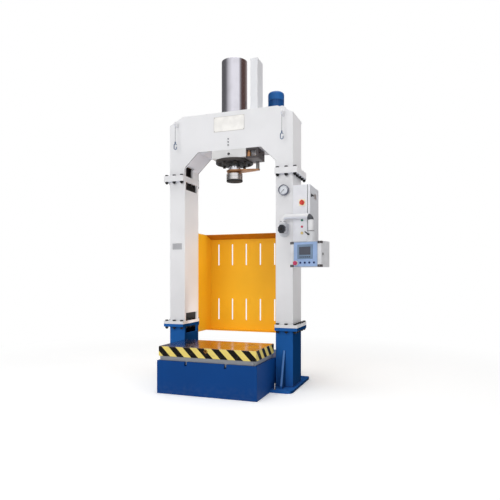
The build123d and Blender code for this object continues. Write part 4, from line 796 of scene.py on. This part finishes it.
# Crosshead: the bare name plate, three set screws and the seal round the barrel
front = Place((0, column_face, 0))
plate_place = front.moved(0.003, 2.662)
plate_width, plate_height = 0.335, 0.152
plate_with_rivets("crosshead_plate", plate_place, plate_width, plate_height, 0.0015, name_plate, "frame",
                  "white_paint", rivet=0.0035, inset=0.008)
plate_strips = border(plate_place, plate_width, plate_height, 0.003, 0.0022, 0.001, 0.0003)
piece("crosshead_plate_edge", *joined(plate_strips), plate_edge, "frame", "white_paint")
set_spots = [(-0.004, z) for z in (2.504, 2.473, 2.442)]
cap_screws("crosshead_screws", front, set_spots, 0.008, 0.006, pipe_steel)
barrel_fit = 0.1353
barrel_lip = [(barrel_fit, 0.0), (0.147, 0.0), (0.146, 0.005), (0.139, 0.009), (barrel_fit, 0.009)]
deck = upward((0, 0, crosshead_top))
piece("barrel_seal", *ring_of(deck, barrel_lip), seal_black, "frame", "black_plastic", smooth=True)

# Crosshead: the edges of its front and back plates along the underside, in grey strips that also paint the
# shadow line there
knee, slope_top = 2.245, 2.395
underside = [(column_inner, upper_joint + flange_thickness), (column_inner, knee), (0.345, slope_top),
             (0.188, slope_top)]
edge_reach, edge_lift, edge_sink = 0.007, 0.0012, -0.001
strip_faces = [(0, 1, 2, 3), (7, 6, 5, 4), (0, 4, 5, 1), (1, 5, 6, 2), (2, 6, 7, 3), (3, 7, 4, 0)]
edge_strips = []
for side in (-1, 1):
    corners = [Vector((side * x, 0, z)) for x, z in underside]
    for start, end in zip(corners, corners[1:]):
        along = (end - start).normalized()
        away = Vector((-side * abs(along.z), 0, -abs(along.x)))
        for y, way in ((column_face, 1), (-column_face, -1)):
            low, high = sorted((y, y + way * edge_reach))
            section = ((low, edge_sink), (high, edge_sink), (high, edge_lift), (low, edge_lift))
            points = [corner + Vector((0, depth, 0)) + away * lift
                      for corner in (start, end) for depth, lift in section]
            edge_strips.append((points, strip_faces))
piece("crosshead_plate_edges", *joined(edge_strips), edge_and_shade_grey, "frame", "white_paint")

# Left column: the bare data plate
plate_with_rivets("column_plate", front.moved(-column_middle, 1.42), 0.11, 0.065, 0.0012, bare_plate,
                  rivet=0.0025)

# Gland: the wiper round the rod, its retainer and the retainer's screws
gland_face = downward((0, 0, gland_bottom))
wiper_fit = rod_radius + 0.0004
wiper = [(wiper_fit, 0.0), (0.082, 0.0), (0.082, 0.004), (0.078, 0.007), (0.068, 0.009), (wiper_fit, 0.011)]
piece("rod_wiper", *ring_of(gland_face, wiper), seal_black, "frame", "black_plastic", smooth=True)
retainer_height = 0.006
retainer = [(0.084, 0.0), (0.104, 0.0), (0.104, 0.005), (0.102, retainer_height), (0.086, retainer_height),
            (0.084, 0.005)]
piece("wiper_retainer", *ring_of(gland_face, retainer), gland_paint)
retainer_face, retainer_spots = gland_face.moved(0, 0, retainer_height), round_about(0.094, range(0, 360, 45))
cap_screws("retainer_screws", retainer_face, retainer_spots, 0.0045, 0.003, bolt_black, slot="black_bolts")

# Block under the crosshead: the thread's collar and the guide bracket's screws
block_face = Place((0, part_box("mount_block")[0].y, block_middle))
collar = [(0.0082, 0.0), (0.013, 0.0), (0.013, 0.002), (0.0115, 0.003), (0.0082, 0.003)]
piece("block_thread_collar", *ring_of(block_face, collar), bolt_black)
bracket_side = rightward((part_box("guide_bracket")[1].x, -0.06, 2.35))
cap_screws("bracket_screws", bracket_side, [(-0.055, 0), (0.055, 0)], 0.007, 0.007, bolt_black)

# Gauge: its rim, and its dial with the marks
gauge = front.moved(column_middle, 1.944)
rim = [(0.0452, 0.0385), (0.0452, 0.0415), (0.0475, 0.043), (0.0498, 0.0415), (0.0506, 0.038),
       (0.0506, 0.033), (0.0501, 0.033), (0.0501, 0.0385)]
piece("gauge_rim", *ring_of(gauge, rim, steps=64), case_grey, "frame", "black_plastic", smooth=True)
dial = gauge.moved(0, 0, 0.028)
dial_thickness = 0.00025
dial_profile = [(0.0448, 0.0), (0.0448, 0.0002), (0.0447, dial_thickness)]
piece("gauge_dial", *turned(dial, dial_profile, steps=64), dial_white, "frame", "white_paint")
marks = []
first_mark, dial_sweep, mark_count, mark_reach = 225, 270, 40, 0.041
for step in range(mark_count + 1):
    angle = radians(first_mark - dial_sweep * step / mark_count)
    across, rise = cos(angle), sin(angle)
    length, width = (0.007, 0.0011) if step % 4 == 0 else (0.0035, 0.0006)
    middle = mark_reach - length / 2
    foot = dial.at(across * middle, rise * middle, dial_thickness)
    spoke = Place(foot, (across, 0, rise), (-rise, 0, across))
    marks.append(tray(spoke, length, width, 0.0001, 0.0002, 0.00003))
arc = ring_of(dial, [(0.0408, 0.00026), (0.0413, 0.00026), (0.0413, 0.00036), (0.0408, 0.00036)], steps=64)
piece("gauge_marks", *joined(marks + [arc]), dial_marks, "frame", "black_plastic")

# Cabinet: switch plate, the door's seal, a black strip painting the shade of the door's gap, cable glands and
# the door's bare plate
switch_plate = tray(front.moved(0.766, 1.816), 0.062, 0.062, 0.0028, 0.006, 0.0008)
piece("switch_plate", *switch_plate, switch_yellow, "frame", "yellow_paint")
door_middle, cabinet_back = 1.715, 0.227
seal = rightward((0.8221, (column_face + cabinet_back) / 2, door_middle))
# Painted shade: a thin black strip on the front stands for the shadow in the door's gap.
door_gap_shade = tray(front.moved(0.8197, door_middle), 0.004, 0.546, 0.0008, 0.001, 0.0002)
seal_strips = border(seal, 0.384, 0.542, 0.006, 0.0007, 0.001, 0.0001)
piece("door_seal_and_gap_shade", *joined(seal_strips + [door_gap_shade]), seal_black, "frame", "black_plastic")
cabinet_floor = downward((0.75, 0.08, 1.44))
gland_profile = [(0.014, 0.0), (0.014, 0.006), (0.0125, 0.007), (0.0125, 0.018), (0.009, 0.024),
                 (0.006, 0.024)]
glands = [turned(cabinet_floor, gland_profile, (x, 0), 20) for x in (-0.035, 0.0, 0.035)]
piece("cable_glands", *joined(glands), black_plastic, "frame", "black_plastic")
door_plate = tray(rightward((0.8455, 0.06, 1.9)), 0.09, 0.05, 0.001)
piece("door_plate", *door_plate, bare_plate, "cabinet_door", "machined_steel")

# Swing arm: ribbed sleeve on its outer elbow, and a ring at each end of the tube
arm_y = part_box("swing_arm")[0].y + 0.032
arm_x, arm_top, bend, tube = 0.866, 1.678, 0.04, 0.024
tube_fit = tube + 0.0002


def elbow_sleeve(start, end, radius, steps=10, round_steps=28):
    """A sleeve round the outer elbow, between two angles from straight up."""
    centre = Vector((arm_x - bend, arm_y, arm_top - bend))
    angles = [radians(start + (end - start) * k / steps) for k in range(steps + 1)]
    rings = [(angles[0], tube_fit)] + [(angle, radius) for angle in angles] + [(angles[-1], tube_fit)]
    points = []
    for angle, r in rings:
        along = Vector((sin(angle), 0, cos(angle)))
        middle = centre + along * bend
        for k in range(round_steps):
            turn = 2 * pi * k / round_steps
            points.append(middle + along * r * cos(turn) + Vector((0, 1, 0)) * r * sin(turn))
    return points, [(a, d, c, b) for a, b, c, d in bands(len(rings), round_steps)]


sleeve = elbow_sleeve(20, 86, tube + 0.0022)
piece("elbow_sleeve", *sleeve, band_rubber, "swing_arm", "black_plastic", smooth=True)
arm_foot = upward((column_middle, arm_y, 1.6245))
ring_profile = [(tube_fit, 0.0), (0.0315, 0.0), (0.0315, 0.003), (0.0285, 0.007), (tube_fit, 0.009)]
piece("arm_foot_ring", *ring_of(arm_foot, ring_profile), pipe_steel, "swing_arm", "machined_steel")
coupling_mouth = upward((arm_x, arm_y, 1.53))
mouth_fit = tube + 0.0004
mouth_profile = [(mouth_fit, 0.0), (0.034, 0.0), (0.034, 0.002), (0.03, 0.006), (mouth_fit, 0.006)]
piece("coupling_seal", *ring_of(coupling_mouth, mouth_profile), seal_black, "console", "black_plastic")

# Console: screen, panel edge, display keys, corner screws, the stop's ring and the rear plate
console_turn = radians(15)
console = Place((0.854, arm_y, 1.31), (cos(console_turn), -sin(console_turn), 0))
console_skin, panel_depth, screen_depth, display_depth = 0.084, 0.086, 0.090, 0.092
panel = console.moved(0, 0, panel_depth)
well = console.moved(0, 0, screen_depth)
pane = tray(well, 0.1192, 0.0752, 0.0012, 0.001, 0.0002, (-0.003, 0.032))
piece("console_screen", *pane, screen, "console", "glass")
panel_strips = border(panel, 0.2496, 0.2316, 0.003, 0.0006, 0.001, 0.0002)
piece("panel_edge", *joined(panel_strips), bezel_blue, "console", "pale_blue")
display_face = console.moved(0, 0, display_depth)
first_key, key_pitch, key_row = -0.0525, 0.0198, -0.026
keys = [tray(display_face, 0.015, 0.009, 0.0012, 0.002, 0.0004, (first_key + key_pitch * column, key_row))
        for column in range(6)]
piece("display_keys", *joined(keys), black_plastic, "console", "black_plastic")
corner_spots = [(x, z) for x in (-0.1455, 0.1455) for z in (-0.1085, 0.1085)]
console_face = console.moved(0, 0, console_skin)
cap_screws("corner_screws", console_face, corner_spots, 0.004, 0.0022, machined, "console")
stop_ring = [(0.0165, 0.0), (0.0225, 0.0), (0.0225, 0.0012), (0.0215, 0.002), (0.0165, 0.002)]
piece("stop_ring", *ring_of(panel, stop_ring, (-0.101, -0.082)), switch_yellow, "console", "yellow_paint")
console_rear = Place(console.at(0, 0, -console_skin), -console.right)
plate_with_rivets("console_rear_plate", console_rear, 0.12, 0.07, 0.001, bare_plate, "console")

# Knob: the cap in its middle
knob_turn = radians(25)
knob = Place((0.6, arm_y - 0.049, 1.556), (cos(knob_turn), -sin(knob_turn), 0)).moved(0, 0, 0.0223)
knob_cap = [(0.016, 0.0), (0.016, 0.0015), (0.013, 0.0035), (0.006, 0.0042), (0.0003, 0.0044)]
piece("knob_cap", *turned(knob, knob_cap), seal_black, "arm_knob", "black_plastic", smooth=True)

# Table: the pull hole's ring, and the plugs over the sled's bolts
table_face = Place((0, table_low.y, table_high.z - 0.026))
pull_ring = [(0.0122, 0.0), (0.0175, 0.0), (0.0175, 0.0015), (0.0165, 0.0022), (0.0122, 0.0022)]
piece("pull_hole_ring", *ring_of(table_face, pull_ring), brass, "table", "brass")
table_plane = upward((0, (table_low.y + table_high.y) / 2, table_high.z))
plug_rim = [(0.0085, 0.0), (0.0105, 0.0), (0.0105, 0.0002), (0.0085, 0.0002)]
plugs = [ring_of(table_plane, plug_rim, (x, y), 28) for x in (-0.44, 0.44) for y in (-0.22, 0.22)]
piece("table_plugs", *joined(plugs), seal_black, "table", "black_plastic")

# Guard: screws through its tabs into the columns, seen from behind
tab_x, sheet_thickness = 0.56, 0.003
tab_spots = [(x, z) for x in (tab_x, -tab_x) for z in (0.5, 0.52, 0.78, 1.1, 1.45)]
tab_back = backward((0, -column_face + sheet_thickness, 0))
cap_screws("guard_screws", tab_back, tab_spots, 0.006, 0.005, pipe_steel)

# Power unit: level glass, bare plate, drain plug, screws, terminal gasket, pipe nuts and the valve's coil
tank_back = backward(((tank_low.x + tank_high.x) / 2, tank_high.y, (tank_low.z + tank_high.z) / 2))
level_spot, level_depth = (0.16, 0), 0.008
level_frame = tray(tank_back, 0.03, 0.15, level_depth, 0.012, 0.002, level_spot)
piece("level_frame", *level_frame, machined)
level_glass = tray(tank_back.moved(0, 0, level_depth), 0.014, 0.1, 0.002, 0.006, 0.0006, level_spot)
# Painted light: the level glass shares the lamp's amber and its faint glow, though it is no lamp.
piece("level_glass", *level_glass, lamp_amber, "frame", "glass")
plate_with_rivets("tank_plate", tank_back.moved(-0.1, 0.05), 0.1, 0.06, 0.001, bare_plate)
plug_profile = [(0.018, 0.0), (0.018, 0.003), (0.013, 0.004), (0.012, 0.014), (0.0105, 0.0155),
                (0.0003, 0.0155)]
piece("drain_plug", *turned(tank_back, plug_profile, (-0.17, -0.115), 6), machined)
lid = upward((0, 0, motor_low.z))
lid_spots = [(x, y) for x in (0.14, 0.24, 0.34, 0.44, 0.54, 0.59) for y in (0.1785, 0.4615)]
cap_screws("lid_screws", lid, lid_spots, 0.006, 0.006, pipe_steel)
motor_x, motor_y = 0.365, 0.3
terminal_face = backward((motor_x, motor_high.y, 2.91))
terminal_spots = [(x, y) for x in (-0.036, 0.036) for y in (-0.04, 0.04)]
cap_screws("terminal_screws", terminal_face, terminal_spots, 0.004, 0.003, pipe_steel)
gasket = tray(terminal_face, 0.08, 0.09, 0.0006, 0.004, 0.0002)
piece("terminal_gasket", *gasket, seal_black, "frame", "black_plastic")
motor_foot = lid.moved(motor_x, motor_y, 0.014)
cap_screws("motor_screws", motor_foot, round_about(0.092, (45, 135, 225, 315)), 0.006, 0.007, pipe_steel)


def pipe_nut(place, bore=0.0103, radius=0.016, length=0.02):
    """A hexagon union nut round a pipe."""
    body = [(bore, 0.0), (radius, 0.0), (radius, length * 0.9), (radius * 0.9, length), (bore, length)]
    lip = [(bore, length), (radius * 0.8, length), (radius * 0.74, length * 1.25), (bore, length * 1.3)]
    return joined([ring_of(place, body, steps=6), ring_of(place, lip, steps=28)])


nuts = [pipe_nut(Place((0.15, 0.215, z), (0, 1, 0), (0, 0, -1))) for z in (2.85, 2.815)]
nuts += [pipe_nut(backward(spot)) for spot in ((0, 0.159, 3.285), (-0.06, 0.165, block_middle))]
piece("pipe_nuts", *joined(nuts), pipe_steel)
coil_face = backward((0.2, 0.285, 2.84))
coil_sleeve = [(0.0225, 0.004), (0.026, 0.006), (0.026, 0.05), (0.0225, 0.053)]
piece("valve_coil", *ring_of(coil_face, coil_sleeve), black_plastic, "frame", "black_plastic")

# Room: pale floor, white surroundings and soft lamps
floor = Finish("pale_floor")
flat_spot = floor.stretched((1.0, 1.0, 0.0))
away = floor.node("ShaderNodeVectorMath", {"operation": "LENGTH"}, {0: flat_spot}, out="Value")
far = floor.between(away, 1.5, 4.5)
speck = floor.grain(60.0, 3.0)
tone = floor.mix(speck, colour(247, 247, 248), colour(250, 250, 250))
look = floor.node("ShaderNodeLightPath", out="Is Camera Ray")
lift = floor.mix(look, (0.0, 0.0, 0.0), (0.22, 0.22, 0.215))
matt = floor.node("ShaderNodeBsdfPrincipled", values={
    "Base Color": tone, "Roughness": 0.7 + (speck - 0.5) * 0.1, "Specular IOR Level": 0.2,
    "Emission Color": lift, "Emission Strength": 1.0})
seen = floor.node("ShaderNodeEmission", values={"Color": (1, 1, 1, 1), "Strength": 1.0})
surface = floor.node("ShaderNodeMixShader", values={0: far * look, 1: matt, 2: seen})
floor.node("ShaderNodeOutputMaterial", values={"Surface": surface})

floor_reach = 60
floor_corners = [(x * floor_reach, y * floor_reach, 0) for x, y in ((-1, -1), (1, -1), (1, 1), (-1, 1))]
ground_mesh = bpy.data.meshes.new("floor")
ground_mesh.from_pydata(floor_corners, [], [(0, 1, 2, 3)])
ground = added("floor", ground_mesh)
cover(ground, floor.material)

world = bpy.data.worlds.new("studio")
bpy.context.scene.world = world
world.use_nodes = True
room = Board(world.node_tree)
path = room.node("ShaderNodeLightPath", out="Is Camera Ray")
white_seen = path.most(path.other("Is Transmission Ray"))
room_light, mirrored_light = 0.56, 0.4
strength = room_light + white_seen * (1 - room_light) + path.other("Is Glossy Ray") * mirrored_light
sky = room.node("ShaderNodeBackground", values={"Color": (1, 1, 1, 1), "Strength": strength})
room.node("ShaderNodeOutputWorld", values={"Surface": sky})

# A round screen that only shiny surfaces see: dark on both sides, as in a studio
radius, height, steps = 7.0, 9.0, 64
points, faces = [], []
for k in range(steps):
    angle = 2 * pi * k / steps
    points += [(radius * cos(angle), radius * sin(angle), z) for z in (0.02, height)]
    after = (k + 1) % steps
    faces.append((2 * k, 2 * after, 2 * after + 1, 2 * k + 1))
screen_mesh = bpy.data.meshes.new("studio_screen")
screen_mesh.from_pydata(points, [], faces)
studio_screen = added("studio_screen", screen_mesh)


def bearing(degrees):
    """The place on the screen's colour band of a direction, in degrees from straight to the right."""
    return ((degrees + 180) % 360) / 360


cloth = Finish("studio_cloth")
turn_share = cloth.node("ShaderNodeTexGradient", {"gradient_type": "RADIAL"}, {"Vector": cloth.spot()},
                        out="Fac")
weave = cloth.grain(2.0)
bright, dark, brown = (1.0, 1.0, 1.03), (0.13, 0.13, 0.135), (0.11, 0.066, 0.058)
stops = [(bearing(degrees), tone) for degrees, tone in (
    (-180, dark), (-158, dark), (-144, (0.26, 0.26, 0.27)), (-126, (0.62, 0.62, 0.64)), (-92, bright),
    (-29, bright), (-20, (0.38, 0.37, 0.39)), (-4, brown), (30, brown), (74, (0.38, 0.33, 0.31)),
    (90, bright), (114, bright), (126, dark), (179.9, dark))]
band = cloth.node("ShaderNodeValToRGB", {"stops": stops}, {0: turn_share + (weave - 0.5) * 0.01})
glow = cloth.node("ShaderNodeEmission", values={"Color": band, "Strength": 1.0})
cloth.node("ShaderNodeOutputMaterial", values={"Surface": glow})
cover(studio_screen, cloth.material)
studio_screen.visible_camera = False
studio_screen.visible_diffuse = False
studio_screen.visible_shadow = False
studio_screen.visible_transmission = False


def lamp(name, place, target, size, power, mirrored=True, spread=180):
    """A soft rectangular lamp that looks at a point."""
    data = bpy.data.lights.new(name, "AREA")
    data.shape = "RECTANGLE"
    data.spread = radians(spread)
    data.size, data.size_y = size
    data.energy = power
    made = added(name, data)
    made.location = place
    made.rotation_euler = (Vector(target) - Vector(place)).to_track_quat("-Z", "Y").to_euler()
    made.visible_glossy = mirrored


lamp("front_lamp", (-1.2, -6.6, 3.8), (0, 0, 1.4), (3.4, 3.4), 124, mirrored=False)
lamp("guard_lamp", (0.0, -0.1, 0.62), (0.0, 0.6, 0.75), (0.8, 0.2), 1.7, mirrored=False)
lamp("inner_lamp", (0.47, -0.05, 1.35), (-0.5, 0.0, 1.4), (0.25, 1.7), 2.7, mirrored=False, spread=120)
lamp("side_lamp", (4.5, 0.4, 3.6), (0.7, 0.0, 2.35), (1.2, 1.2), 2.6, mirrored=False, spread=40)
lamp("top_lamp", (0, -1.0, 7.5), (0, 0, 0.5), (4.0, 4.0), 150)

bpy.context.scene.view_settings.view_transform = "Standard"
